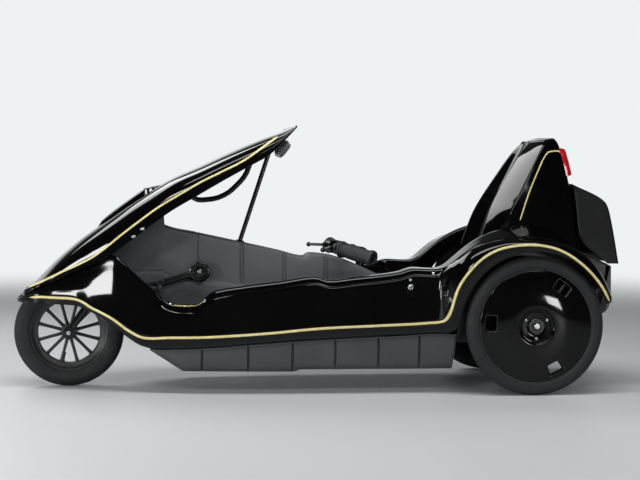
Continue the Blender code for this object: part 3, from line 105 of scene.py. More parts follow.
# Hood: edge x, edge half width, edge z, ridge x, ridge z
HOOD = mm((
    (-838, 66, 278, -856.5, 268), (-795, 100, 296.5, -812.5, 304), (-740, 124, 318.5, -750, 368),
    (-680, 146, 346.4, -685, 424.3), (-622, 169, 374.2, -622, 470), (-588, 180, 392, -585, 496),
    (-540, 190, 427, -530, 533), (-480, 197, 472, -465, 573), (-420, 201, 515, -400, 608),
    (-350, 204, 556, -335, 637), (-270, 205, 602.5, -260, 673), (-195, 204, 644, -190, 704.5),
    (-147, 202, 670.5, -140, 724), (-104, 198, 710, -98, 739), (-66, 189, 750, -48, 759)))
HOOD_CROWN = 0.55
# Tail: z, rear x, break x, front x, rear half, break half, front half, dish
TAIL = mm((
    (402, 752, 530, 468, 198, 203, 140, 60), (450, 746.5, 545, 482, 195, 201, 128, 58),
    (506, 741, 549, 502, 188, 194, 112, 52), (560, 736, 578, 530, 177, 184, 94, 44),
    (620, 728, 610, 567, 162, 171, 78, 34), (670, 718, 637, 600, 149, 158, 66, 24),
    (695, 711, 652, 620, 141, 150, 58, 16), (708, 701, 664, 636, 125, 133, 52, 8)))
# Coach lines as they run in side view: x, z
SHELL_LINE = mm((
    (-822, 264), (-793, 266.8), (-764, 266.4), (-735.5, 265.5), (-707, 264.6), (-684, 261.2), (-664.7, 252),
    (-650.7, 242.3), (-622.6, 228.8), (-589, 211.1), (-536, 174.3), (-502, 159), (-483.5, 157.6),
    (-437, 160.1), (-345, 162.2), (-161, 174.1), (-13, 187.6), (155, 195.1), (296.5, 202.1), (324.8, 204.6),
    (337.8, 209.2), (345.2, 223.6), (350.2, 237.9), (355.1, 257.7), (362.4, 286.1), (374.5, 314.5),
    (387.4, 334.3), (400.8, 351.1), (427.9, 379), (455.5, 398.3), (483.1, 410.7), (511, 417.6),
    (539, 421.5), (567.6, 422.7), (596, 421.7), (624.4, 416.8), (652.9, 408.2), (681.4, 394),
    (710.2, 374.2), (739.5, 348.7), (768.9, 314.7), (783.7, 292), (798.5, 263.7)))
HOOD_PATH = mm((
    (-829, 288.3), (-808, 299.3), (-764, 321.9), (-735, 336.6), (-678, 362.9), (-641, 383.1), (-610, 405.9),
    (-565, 442.8), (-509, 486.3), (-453, 526.9), (-397, 560.5), (-340, 594.1), (-284, 622), (-213, 658.5),
    (-165, 692.3), (-119, 724.8)))
TAIL_LINE = mm((
    (579, 486), (611, 571), (638, 628.5), (662, 672), (672, 683), (684, 686), (711, 683), (716.5, 672)))


def linear(text):
    """An sRGB hex colour as linear red, green, blue and alpha."""
    value = np.array([int(text[i:i + 2], 16) for i in (1, 3, 5)]) / 255.0
    value = np.where(value <= 0.04045, value / 12.92, ((value + 0.055) / 1.055) ** 2.4)
    return (*[float(v) for v in value], 1.0)


def add(tree, kind, inputs=None, **settings):
    """Adds a node with its settings; an input is a value or another node's socket."""
    made = tree.nodes.new(kind)
    for key, value in settings.items():
        setattr(made, key, value)
    for key, value in (inputs or {}).items():
        if isinstance(value, bpy.types.NodeSocket):
            tree.links.new(value, made.inputs[key])
        else:
            made.inputs[key].default_value = value
    return made


def material(name, colour, roughness, **sockets):
    """A Principled material; sockets are the shader's own constant values."""
    made = bpy.data.materials.new(name)
    made.use_nodes = True
    tree = made.node_tree
    shader = tree.nodes["Principled BSDF"]
    shader.inputs["Base Color"].default_value = linear(colour)
    shader.inputs["Roughness"].default_value = roughness
    for key, value in sockets.items():
        shader.inputs[key.replace("_", " ")].default_value = value
    return made, tree, shader


def mottle(tree, scale, detail=3.0, stretch=(1, 1, 1)):
    """Noise on object coordinates; scale is in cells a metre."""
    place = add(tree, "ShaderNodeTexCoord").outputs["Object"]
    spread = add(tree, "ShaderNodeMapping", {"Vector": place, "Scale": stretch}).outputs[0]
    return add(tree, "ShaderNodeTexNoise", {
        "Vector": spread, "Scale": scale, "Detail": detail}).outputs["Fac"]


def remap(tree, value, first, last, low, high, **settings):
    """Maps a value from first to last on to low to high."""
    return add(tree, "ShaderNodeMapRange", {"Value": value, "From Min": first, "From Max": last,
                                            "To Min": low, "To Max": high}, **settings).outputs[0]


def between(tree, noise, low, high):
    """Maps a noise, which runs from about 0.3 to 0.7, on to a range."""
    return remap(tree, noise, 0.3, 0.7, low, high)


def finish(name, cloud, dark, light, dull=None, grain=None, roughness=0.3, **sockets):
    """A material between two colours: cloudy noise (cells a metre, detail) leads from dark to
    light and spreads the roughness over dull; grain is fine noise with its real depth in metres."""
    made, tree, shader = material(name, dark, roughness, **sockets)
    noise = mottle(tree, *cloud)
    mix = add(tree, "ShaderNodeMix", {
        0: between(tree, noise, 0.0, 1.0), 6: linear(dark), 7: linear(light)}, data_type="RGBA")
    tree.links.new(mix.outputs[2], shader.inputs["Base Color"])
    if dull:
        tree.links.new(between(tree, noise, *dull), shader.inputs["Roughness"])
    if grain:
        bump = add(tree, "ShaderNodeBump", {
            "Height": mottle(tree, *grain[:2]), "Distance": grain[2], "Strength": 1.0}).outputs[0]
        tree.links.new(bump, shader.inputs["Normal"])
    return made


# Black two-pack paint, polished: deep, with the faintest orange peel and polishing haze
PAINT = finish("black_two_pack_paint", (6.0, 4.0), "#040405", "#070708", (0.035, 0.075),
               (260.0, 1.0, 0.00001), Specular_IOR_Level=0.28)
# Pale gold coach line, brushed on by hand: satin, a little uneven
GOLD = finish("pale_gold_coach_line", (90.0, 3.0), "#CFC07E", "#E6DAA0", (0.26, 0.40))
# Injection moulded grey polypropylene: satin with a fine spark grain; tub and tunnel are one grey, the
# tunnel's is the moulding's own and the tub's is darkened as painted shade for the shade under the sill's
# overhang
SPARKED = ((0.40, 0.54), (900.0, 2.0, 0.00010))
SHADED_GREY = finish("grey_polypropylene_painted_shade", (9.0, 4.0), "#383C3D", "#434748", *SPARKED)
PALE = finish("pale_grey_moulded_polypropylene", (9.0, 4.0), "#515558", "#5E6265", *SPARKED)
# Black moulded ABS: satin, with a fine grain; the lid's is blacker and flatter
GRAINED = ((0.32, 0.48), (1100.0, 2.0, 0.00006))
BLACK = finish("black_moulded_abs", (14.0, 3.0), "#151617", "#1E1F20", *GRAINED)
SATIN = finish("black_satin_lid_moulding", (14.0, 3.0), "#0A0B0C", "#101112", *GRAINED,
               Specular_IOR_Level=0.22)
# Black stove enamel on steel tube: glossy, slightly rippled
ENAMEL = finish("black_stove_enamel", (40.0, 3.0), "#08090A", "#0E0F10", (0.16, 0.30), (420.0, 2.0, 0.00003))
# Zinc plated steel: bright, finely scratched one way
PLATED = finish("zinc_plated_steel", (700.0, 3.0, (1.0, 0.1, 1.0)), "#A8AAAC", "#C6C8CA", (0.18, 0.36),
                Metallic=1.0)
# Lacquered brass edge trim: warm and pale, dulled in patches
BRASS = finish("lacquered_brass_trim", (80.0, 3.0), "#B9A36C", "#D6C58F", (0.18, 0.34), Metallic=1.0)
# Vulcanised tyre rubber: matt, greyed by dust in patches
TYRE = finish("tyre_rubber", (22.0, 6.0), "#0F1012", "#1B1C1E", (0.60, 0.84), (1400.0, 2.0, 0.00008))
# Soft moulded grip rubber: dull, with a worn sheen
GRIP = finish("grip_rubber", (45.0, 4.0), "#232426", "#343537", (0.48, 0.72), (1300.0, 2.0, 0.00007))
# Red acrylic lamp lens: clear gloss over a deep colour
LENS = finish("red_acrylic_lens", (60.0, 2.0), "#9C0F19", "#BA1D28", roughness=0.10, Coat_Weight=1.0,
              Coat_Roughness=0.04, Subsurface_Weight=0.15, Subsurface_Scale=0.01)
# Grey moulded acrylic: half gloss and milky
SMOKED = finish("grey_acrylic", (30.0, 2.0), "#84878A", "#9B9EA0", (0.16, 0.30), Coat_Weight=0.4)
# Silvered mirror glass: bright, with the slightest smear
MIRROR = finish("silvered_mirror_glass", (25.0, 3.0), "#DDE2E4", "#EDF0F1", (0.02, 0.08), Metallic=1.0)


def linked(name, data):
    """An object with this data, in the scene."""
    made = bpy.data.objects.new(name, data)
    bpy.context.scene.collection.objects.link(made)
    return made


def stacked(*parts):
    """Numbers and arrays, spread to one shape, side by side along a new last axis."""
    return np.stack(np.broadcast_arrays(*parts), axis=-1)


def cubics(knots, values, grade, at):
    """Cubic pieces through rows of values with a given slope at each."""
    shape = (-1,) + (1,) * (values.ndim - 1)
    i = np.clip(np.searchsorted(knots, at, "right") - 1, 0, len(knots) - 2)
    h = (knots[i + 1] - knots[i]).reshape(shape)
    t = (at - knots[i]).reshape(shape) / h
    return ((1 + 2 * t) * (1 - t) ** 2 * values[i] + t * (1 - t) ** 2 * h * grade[i]
            + t * t * (3 - 2 * t) * values[i + 1] + t * t * (t - 1) * h * grade[i + 1])


def flow(knots, values, at):
    """Smooth curve through rows of values, never overshooting them: cubic pieces whose
    slopes are the harmonic mean of the two neighbouring slopes."""
    knots = np.asarray(knots, float)
    values = np.asarray(values, float)
    slope = np.diff(values, axis=0) / np.diff(knots).reshape((-1,) + (1,) * (values.ndim - 1))
    grade = np.zeros_like(values)
    both = slope[:-1] * slope[1:]
    total = slope[:-1] + slope[1:]
    grade[1:-1] = np.where(both > 0, 2 * both / np.where(np.abs(total) < 1e-12, 1, total), 0)
    grade[0] = slope[0]
    grade[-1] = slope[-1]
    return cubics(knots, values, grade, np.clip(np.asarray(at, float), knots[0], knots[-1]))


def bent(points, count):
    """A line through points: cubic pieces whose slopes come from each point's neighbours."""
    points = np.asarray(points, float)
    knots = lengths(points)
    return cubics(knots, points, np.gradient(points, knots, axis=0), np.linspace(0, knots[-1], count))


def spread(knots, spacing, least=2):
    """Parameter values through the knots, about one for each spacing."""
    pieces = []
    for a, b in zip(knots[:-1], knots[1:]):
        count = max(least, int(math.ceil((b - a) / spacing)))
        pieces.append(np.linspace(a, b, count, endpoint=False))
    return np.concatenate(pieces + [[knots[-1]]])


def even_out(grid, passes, axis=0):
    """Averages each row with its neighbours, the ends held."""
    grid = np.moveaxis(grid.copy(), axis, 0)
    for _ in range(passes):
        grid[1:-1] = 0.25 * grid[:-2] + 0.5 * grid[1:-1] + 0.25 * grid[2:]
    return np.moveaxis(grid, 0, axis)


def headings(points):
    """Unit directions along a line of points."""
    along = np.gradient(points, axis=0)
    return along / np.linalg.norm(along, axis=1, keepdims=True)


def square_left(points):
    """Unit directions square to a plane line, on its left."""
    along = headings(points)
    return stacked(-along[:, 1], along[:, 0])


def corner_curve(first, middle, last, t):
    """A short curve from first to last, led by the corner between them."""
    return (1 - t) ** 2 * first + 2 * t * (1 - t) * middle + t * t * last


def round_section(knots, rows, fine):
    """Rows of key points, each row filled in along its section at the fine parameter values."""
    return np.moveaxis(flow(knots, np.moveaxis(rows, 1, 0), fine), 0, 1)


def from_sections(x, knots, keys, fine):
    """A grid from key points of y and z, given as pairs of arrays along x."""
    yz = round_section(knots, np.stack([stacked(*pair) for pair in keys], axis=1), fine)
    return stacked(x[:, None], yz[..., 0], yz[..., 1])


def lengths(points):
    """Distance along a line of points, from 0."""
    return np.concatenate([[0], np.cumsum(np.linalg.norm(np.diff(points, axis=0), axis=1))])


def put(name, shape, surface, body=BODY, replaces=(), smooth=40.0, wall=0.0, inside=None):
    """A mesh object from points and faces, welded, facing out, riding on its body. A closed shape
    is turned out by itself; an open sheet is turned away from a place inside it, and walled inwards."""
    verts, faces = shape
    mesh = bpy.data.meshes.new(name)
    mesh.from_pydata(np.asarray(verts).tolist(), [], faces)
    work = bmesh.new()
    work.from_mesh(mesh)
    bmesh.ops.remove_doubles(work, verts=work.verts, dist=1e-6)
    bmesh.ops.dissolve_degenerate(work, dist=1e-7, edges=work.edges)
    bmesh.ops.recalc_face_normals(work, faces=work.faces)
    if inside is not None:
        place = Vector(inside)
        facing = sum(f.calc_area() * f.normal.dot((f.calc_center_median() - place).normalized())
                     for f in work.faces)
        if facing < 0:
            bmesh.ops.reverse_faces(work, faces=work.faces)
    work.to_mesh(mesh)
    work.free()
    made = linked(name, mesh)
    mesh.materials.append(surface)
    if wall:
        solid = made.modifiers.new("wall", "SOLIDIFY")
        solid.thickness = wall
        solid.offset = -1.0
        solid.use_even_offset = False
    mesh.shade_smooth()
    mesh.set_sharp_from_angle(angle=math.radians(smooth))
    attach(made, body)
    if replaces:
        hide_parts(*replaces)
    return made


def quads(rows, columns, loop_rows=False, loop_columns=False):
    """Face corner indices of a grid of rows by columns."""
    i = np.arange(rows if loop_rows else rows - 1)
    j = np.arange(columns if loop_columns else columns - 1)
    i, j = np.meshgrid(i, j, indexing="ij")
    i, j = i.ravel(), j.ravel()
    i2, j2 = (i + 1) % rows, (j + 1) % columns
    return stacked(i * columns + j, i2 * columns + j, i2 * columns + j2, i * columns + j2).tolist()


def sheet(grid):
    """An open grid as points and faces."""
    return grid.reshape(-1, 3), quads(*grid.shape[:2])


def capped(grid):
    """A grid of closed loops, its two ends closed by a face each."""
    rows, columns = grid.shape[:2]
    faces = quads(rows, columns, loop_columns=True)
    faces.append(list(range(columns)))
    faces.append([(rows - 1) * columns + j for j in range(columns)])
    return grid.reshape(-1, 3), faces


def joined(*shapes):
    """Several shapes as one list of points and faces."""
    verts, faces, count = [], [], 0
    for points, corners in shapes:
        verts.append(np.asarray(points, float))
        faces += [[i + count for i in face] for face in corners]
        count += len(points)
    return np.concatenate(verts), faces


def mirrored(shape):
    """A shape and its mirror image across y = 0."""
    verts, faces = shape
    return joined(shape, (np.asarray(verts) * (1, -1, 1), [face[::-1] for face in faces]))


def both_sides(grid):
    """The grid for y > 0 and its mirror image."""
    return mirrored(sheet(grid))


def square_to(direction):
    """A direction as a unit vector, with two more square to it."""
    w = np.asarray(direction, float) / np.linalg.norm(direction)
    u = np.cross((0.0, 0.0, 1.0) if abs(w[2]) < 0.9 else (1.0, 0.0, 0.0), w)
    u /= np.linalg.norm(u)
    return u, np.cross(w, u), w


def turned(profile, centre, axis=(0, 1, 0), count=96, loop=True):
    """A profile of radius and place along an axis, turned about it:
    centre + radius (cos a u + sin a v) + place w, for the whole turn a."""
    u, v, w = square_to(axis)
    radius, place = np.asarray(profile, float).T
    a = 2 * np.pi * np.arange(count) / count
    ring = np.cos(a)[None, :, None] * u + np.sin(a)[None, :, None] * v
    grid = np.asarray(centre) + radius[:, None, None] * ring + place[:, None, None] * w
    return grid.reshape(-1, 3), quads(len(radius), count, loop, True)


def clock(turn):
    """Direction at an angle about an axle that lies across the car."""
    return np.array((math.cos(turn), 0.0, math.sin(turn)))


def both_ends(points):
    """A profile's points and their mirror image along the axis, in one run."""
    points = np.asarray(points, float)
    return np.vstack([points, points[::-1] * (1, -1)])


def rod(centre, radius, half):
    """A plain round bar across the car."""
    return turned(both_ends([(0, -half), (radius, -half)]), centre, (0, 1, 0), 32, False)


def carried(path, radius, sides=16, across=(0, 1, 0), flat=1.0):
    """A round or flattened section carried along a path: at each point a ring square to the
    path, radius (cos a side + flat sin a top), the side found from a fixed direction."""
    path = np.asarray(path, float)
    along = headings(path)
    side = np.cross(along, across)
    side /= np.linalg.norm(side, axis=1, keepdims=True)
    top = np.cross(side, along)
    a = 2 * np.pi * np.arange(sides) / sides
    radius = np.broadcast_to(radius, len(path))[:, None, None]
    ring = np.cos(a)[None, :, None] * side[:, None] + flat * np.sin(a)[None, :, None] * top[:, None]
    return capped(path[:, None] + radius * ring)


def slab(loop, depth, radius, centre, normal, up=(0, 0, 1)):
    """A plate with rounded edges: a plan loop raised along a normal, drawn in along its own
    outward directions by r (1 - sin t) while it rises by r (1 - cos t)."""
    loop = np.asarray(loop, float)
    w = np.asarray(normal, float) / np.linalg.norm(normal)
    u = np.cross(up, w)
    u /= np.linalg.norm(u)
    v = np.cross(w, u)
    along = np.roll(loop, -1, axis=0) - np.roll(loop, 1, axis=0)
    out = stacked(along[:, 1], -along[:, 0]) / np.linalg.norm(along, axis=1, keepdims=True)
    t = np.linspace(0, np.pi / 2, 4)
    inset = radius * np.concatenate([1 - np.sin(t), 1 - np.sin(t[::-1])])
    rise = np.concatenate([radius * (1 - np.cos(t)), depth - radius * (1 - np.cos(t[::-1]))])
    rings = loop[None] - out[None] * inset[:, None, None]
    return capped(np.asarray(centre) + rings[..., :1] * u + rings[..., 1:] * v + rise[:, None, None] * w)


def oval(width, height, power=2.0, count=40):
    """A plan loop |x/w|^p + |y/h|^p = 1; a high power gives a rounded rectangle."""
    a = 2 * np.pi * np.arange(count) / count
    c, s = np.cos(a), np.sin(a)
    reach = (np.abs(c) ** power + np.abs(s) ** power) ** (-1 / power)
    return stacked(0.5 * width * c * reach, 0.5 * height * s * reach)


def hexagon(radius):
    """A nut's plan, each corner cut by two points."""
    a = (np.pi / 3 * np.arange(6)[:, None] + np.array([-0.08, 0.08])[None]).ravel()
    return radius * stacked(np.cos(a), np.sin(a))


def dome(centre, normal, radius, height):
    """A low round head on a face."""
    t = np.linspace(0, np.pi / 2, 7)
    profile = stacked(radius * np.cos(t), height * (0.35 + 0.65 * np.sin(t)))
    profile = np.vstack([[(0, -0.001), (radius, -0.001)], profile])
    profile[-1, 0] = 0
    return turned(profile, centre, normal, 24, False)


def tree_of(shape):
    """A search tree of a shape's faces, for rays."""
    return BVHTree.FromPolygons([tuple(map(float, v)) for v in shape[0]], shape[1])


def cast(tree, x, z):
    """The place and outward direction where a level ray from the left meets a surface."""
    place, normal, _, _ = tree.ray_cast(Vector((x, -1.0, z)), Vector((0, 1, 0)))
    if place is None:
        return None
    normal = normal if normal.y < 0 else -normal
    return np.array(place), np.array(normal)


def coach_line(name, tree, path, width, count):
    """A brushed line: a smooth path in side view, five points across it at each step, all cast
    on to the surface from the left, lifted by the paint, walled, and mirrored."""
    centre = even_out(bent(path, count), 3)
    out = square_left(centre)
    ends = np.minimum(np.arange(count), np.arange(count)[::-1])
    half = 0.5 * width * np.clip(0.25 + ends / 4.0, 0, 1)
    grid = []
    for point, side, reach in zip(centre, out, half):
        row = [cast(tree, *(point + side * reach * share)) for share in (-1, -0.5, 0, 0.5, 1)]
        if all(hit is not None for hit in row):
            grid.append([place + normal * PAINT_LIFT for place, normal in row])
    grid = np.array(grid)
    for side, sign in (("left", 1), ("right", -1)):
        put(name + "_" + side, sheet(grid * (1, sign, 1)), GOLD, BODY, (), 180.0, 0.0008,
            (0, 0, float(grid[..., 2].mean())))


# Shell of nose, sill and arch, as one flowing surface
def plan_normals(points):
    """Outward directions in plan along the outline, the first one straight ahead."""
    normal = square_left(points)
    normal[0] = (-1.0, 0.0)
    return normal


def nose_keys():
    """Key points a station: return, lower edge, flank, line, flank, crease, top edge, return."""
    x, half, low, line, top = NOSE.T
    outline = stacked(x, half)
    normal = plan_normals(np.vstack([outline, [(SILL[0, 0], SILL[0, 1])]]))[:-1]
    tuck = np.interp(x, (-0.860, -0.740, -0.600), (0.003, 0.006, 0.022))
    reach = np.minimum(1.0, (half + 0.02) / 0.05)
    rise = top - line
    inset = stacked(tuck + 0.006, tuck, 0.36 * tuck, 0, 0.002, 0.007, 0.0105, 0.015, 0.022, 0.024, 0.025)
    # the rolled top edge is shallow where the steered tyre passes close by
    deep = np.interp(x, (-0.790, -0.700), (0.15, 1.0))
    height = stacked(
        low + 0.003, low, low + 0.35 * (line - low), line, line + 0.30 * rise, line + 0.65 * rise,
        line + 0.82 * rise, top - 0.001, top - 0.001, top - 0.001 - 0.007 * deep,
        top - 0.001 - 0.013 * deep)
    near = np.interp(x, (-0.790, -0.700), (0.18, 1.0))[:, None]
    inset = inset * reach[:, None] * np.where(np.arange(11) < 4, np.maximum(near, 0.25), near)
    px = x[:, None] - normal[:, 0:1] * inset
    py = np.maximum(half[:, None] - normal[:, 1:2] * inset, 0)
    py[0] = 0
    return stacked(px, py, height)


def sill_keys():
    """The sill's key points: a tight crease under its sloped top, its inner wall turned down."""
    x, half, low, line, top, inner = SILL.T
    rise = top - line
    y = stacked(
        half - 0.029, half - 0.022, half - 0.006, half, half - 0.003, half - 0.0070,
        half - 0.0105, half - 0.020, inner + 0.008, inner, inner - 0.003)
    z = stacked(
        low + 0.003, low, low + 0.4 * (line - low), line, line + 0.45 * rise, top - 0.0225,
        top - 0.0165, top - 0.002, top, top - 0.010, np.maximum(low + 0.050, top - 0.140))
    return stacked(x[:, None], y, z)


def arch_keys():
    """The arch's key points: lip, line and shoulder round the wheel, crest, deck, skirt."""
    angle = ARCH_TURN
    lip_r, line_r, lip_y, crest_x, crest_z, deck_z, skirt = ARCH.T

    def ring(radius, y, turn=angle, x=REAR_X, z=REAR_Z):
        turn = np.radians(turn)
        return stacked(x + radius * np.cos(turn), y, z + radius * np.sin(turn))

    def lengthwise(y, z):
        return stacked(crest_x, y, z)

    lip = ring(lip_r, lip_y - 0.004)
    back = ring(lip_r + 0.004, lip_y - 0.012)
    # the line leaves the sill a little above the lip's first place
    raised = np.where(angle > 180, 177.0, angle)
    line = ring(line_r, lip_y, raised)
    half_way = 0.5 * (lip + line) + (0, 0.0015, 0)
    crest = lengthwise(0.310, crest_z)
    shoulder = (line + crest) / 2 + ring(0.006, 0.018, x=0, z=0)
    upper = 0.25 * shoulder + 0.75 * crest + ring(0.004, 0.008, x=0, z=0)
    deck = lengthwise(ARCH_INNER_Y + 0.010, deck_z)
    near = crest + 0.12 * (deck - crest) + (0, 0, 0.0010)
    edge = lengthwise(ARCH_INNER_Y, deck_z - 0.008)
    inner = lengthwise(ARCH_INNER_Y, skirt)
    return np.stack([back, lip, half_way, line, shoulder, upper, crest, near, deck, edge, inner], axis=1)


SHELL_KEYS = np.concatenate([nose_keys(), sill_keys(), arch_keys()])
SHELL_KNOTS = np.array([0.0, 0.4, 1.2, 2.0, 3.2, 4.4, 4.9, 5.6, 6.6, 7.2, 8.2])


def build_shell():
    """Key points smoothed along the car, then round each section."""
    along = lengths(SHELL_KEYS[:, 3])
    fine_u = spread(along, 0.006, 4)
    rows = flow(along, SHELL_KEYS, fine_u)
    passes = even_out(rows, 4)
    corner = np.clip(1 - np.abs(rows[:, 3, 0] - 0.345) / 0.06, 0, 1)[:, None, None]
    rows = passes + corner * (even_out(rows, 26) - passes)
    fine_v = spread(SHELL_KNOTS, 0.2, 3)
    grid = round_section(SHELL_KNOTS, rows, fine_v)
    put("upper_shell", both_sides(grid), PAINT, BODY,
        ("nose_shell", "side_shell_left", "side_shell_right", "wheel_arch_left", "wheel_arch_right"),
        50.0, WALL, (0, 0, 0.22))
    tree = tree_of(both_sides(grid))
    coach_line("shell_line", tree, SHELL_LINE, 0.0068, 420)
    # brass strip on the rolled edge where the side is cut away
    top = grid[:, int(np.argmin(np.abs(fine_v - 5.4)))]
    keep = (top[:, 0] > -0.418) & (top[:, 0] < -0.335)
    strip = even_out(top[keep], 3) + (0, 0.0008, 0.0008)
    put("edge_trim", mirrored(carried(strip, 0.0019, 10, (0, 1, 0.3))), BRASS)
    # screws through the edge, either side of it
    heads = [dome(*cast(tree, x, z), 0.0048, 0.0026)
             for x, z in ((-0.4250, 0.2545), (-0.3310, 0.2640), (0.3090, 0.3400))]
    put("shell_screws", mirrored(joined(*heads)), PLATED, smooth=50.0)
    return tree


def hood_grid():
    """The hood: each section a flattened half oval from edge to ridge, sine and cosine to the
    power 0.55, its lower edge rolled in."""
    along = lengths(stacked(HOOD[:, 3], HOOD[:, 4]))
    fine_u = spread(along, 0.008, 4)
    rows = even_out(flow(along, HOOD, fine_u), 3)
    turn = 0.5 * np.pi * (1 - np.linspace(0, 1, 34) ** 1.25)[None, :]
    across = np.sin(turn) ** HOOD_CROWN
    rise = np.cos(turn) ** HOOD_CROWN
    across[:, -1] = 0.0
    rise[:, 0] = 0.0
    edge_x, half, edge_z, ridge_x, ridge_z = [rows[:, k:k + 1] for k in range(5)]
    outer = stacked(edge_x + (ridge_x - edge_x) * (1 - across), half * across,
                    edge_z + (ridge_z - edge_z) * rise)
    first = outer[:, :1]
    roll = [first + (0, -inward, up) for inward, up in (
        (0.0115, 0.0045), (0.0080, 0.0010), (0.0045, -0.0008), (0.0015, -0.0008))]
    share = np.clip(rows[:, 1:2] / 0.02, 0, 1)[:, None]
    roll = [first + (part - first) * share for part in roll]
    return np.concatenate(roll + [outer], axis=1)


def hood_top(x, y):
    """Height of the hood's outer face at places on its crown."""
    half, edge, ridge = [np.interp(x, HOOD[:, 3], HOOD[:, k]) for k in (1, 2, 4)]
    across = np.minimum(np.abs(y) / half, 1.0) ** (1 / HOOD_CROWN)
    return edge + (ridge - edge) * np.sqrt(1 - across ** 2) ** HOOD_CROWN


def build_hood():
    """The hood with its coach line and two catches on each side."""
    grid = hood_grid()
    put("hood_panel", both_sides(grid), PAINT, BODY, ("hood",), 60.0, 0.003, (-0.4, 0, 0.1))
    tree = tree_of(both_sides(grid[:, 4:]))
    coach_line("hood_line", tree, HOOD_PATH, 0.0054, 260)
    heads = []
    for x, z in ((-0.5270, 0.4415), (-0.5020, 0.4630)):
        place, normal = cast(tree, x, z)
        heads += [dome(place, normal, 0.0040, 0.0026),
                  slab(oval(0.013, 0.007, 4.0, 24), 0.0014, 0.0005, place + normal * 0.0002, normal)]
    put("hood_catches", mirrored(joined(*heads)), PLATED, smooth=50.0)


# Air scoop on the crown: x, half width, top z over the crown line
SCOOP = mm((
    (-628, 50, 2), (-615, 58, 10), (-585, 66, 14.2), (-555, 73, 16.5), (-530, 78, 18), (-505, 83, 20.5),
    (-494, 85, 21.6)))


def build_scoop():
    """A low wedge with its open mouth to the rear: side walls up from the crown, a rounded
    shoulder, a level roof; behind the mouth a thin roof plate runs on over four posts."""
    x = np.linspace(SCOOP[0, 0], SCOOP[-1, 0], 60)
    half = np.interp(x, SCOOP[:, 0], SCOOP[:, 1])
    height = flow(SCOOP[:, 0], SCOOP[:, 2], x)
    t = np.linspace(0, np.pi / 2, 7)
    share_in = np.concatenate([[0.0], 0.012 * (1 - np.cos(t)), np.linspace(0.020, 0.085, 9)])
    share_up = np.concatenate([[-0.12], np.sin(t), np.ones(9)])
    y = np.maximum(half[:, None] - share_in[None], 0)
    foot = hood_top(x, half) - 0.0005
    shoulder = hood_top(x, half - 0.012) + height
    side = foot[:, None] + (shoulder - foot)[:, None] * share_up[None]
    z = np.where(share_up[None] < 1, side, hood_top(x[:, None], y) + height[:, None])
    grid = stacked(x[:, None], y, z)
    put("air_scoop", both_sides(even_out(grid, 2, 1)), PAINT, BODY, ("hood_pod",),
        40.0, 0.0022, (-0.55, 0, 0.45))
    top = float(hood_top(x[-1], 0.0) + height[-1])
    plate_x = np.linspace(-0.497, -0.449, 16)
    plate_z = np.interp(plate_x, (-0.497, -0.487, -0.449), (top, top + 0.0012, 0.5865))
    plate_half = np.interp(plate_x, (-0.497, -0.449), (0.070, 0.064))
    across = np.linspace(-1, 1, 21)[None]
    plate_y = plate_half[:, None] * across
    upper = stacked(plate_x[:, None], plate_y, plate_z[:, None] - 0.003 * across ** 4)
    posts = []
    for px in (-0.4840, -0.4690):
        for py in (0.022, 0.052):
            low = float(hood_top(px, py)) - 0.001
            reach = float(np.interp(px, plate_x, plate_z)) - 0.0015
            posts.append(carried([(px, py, low), (px, py, (low + reach) / 2), (px, py, reach)], 0.0032, 12))
    put("scoop_roof", sheet(upper), PAINT, BODY, (), 40.0, 0.0022, (-0.47, 0, 0.45))
    put("scoop_posts", mirrored(joined(*posts)), ENAMEL)


def rounded(loop, radius, steps):
    """Corners of a closed loop turned to short curves; loop is levels by points by 3."""
    before = np.roll(loop, 1, axis=1) - loop
    after = np.roll(loop, -1, axis=1) - loop
    reach_b = np.linalg.norm(before, axis=2, keepdims=True)
    reach_a = np.linalg.norm(after, axis=2, keepdims=True)
    size = np.minimum(radius, 0.45 * np.minimum(reach_a, reach_b))
    first = loop + before / np.maximum(reach_b, 1e-9) * size
    last = loop + after / np.maximum(reach_a, 1e-9) * size
    t = np.linspace(0, 1, steps)[None, None, :, None]
    curve = corner_curve(first[:, :, None], loop[:, :, None], last[:, :, None], t)
    return curve.reshape(loop.shape[0], -1, 3)


def tail_loops(rows):
    """Plan loops of the tail: rear face, side panel, lit facet, front edge, dished back."""
    z, rear_x, break_x, front_x, rear_h, break_h, front_h, dish = rows.T
    right = [
        (rear_x, rear_h - 0.004), (break_x + 0.002, break_h),
        (break_x - 0.50 * (break_x - front_x), break_h - 0.46 * (break_h - front_h)),
        (front_x, front_h), (front_x + 0.30 * dish, front_h * 0.86),
        (front_x + 0.80 * dish, front_h * 0.62), (front_x + dish, front_h * 0.30)]
    px, py = [stacked(*part) for part in zip(*right)]
    px = np.concatenate([px, px[:, ::-1]], axis=1)
    py = np.concatenate([py, -py[:, ::-1]], axis=1)
    tilt = np.interp(z, (0.69, 0.705), (0.0, 0.16))
    pz = z[:, None] + tilt[:, None] * (px - 0.62)
    return stacked(px, py, pz)


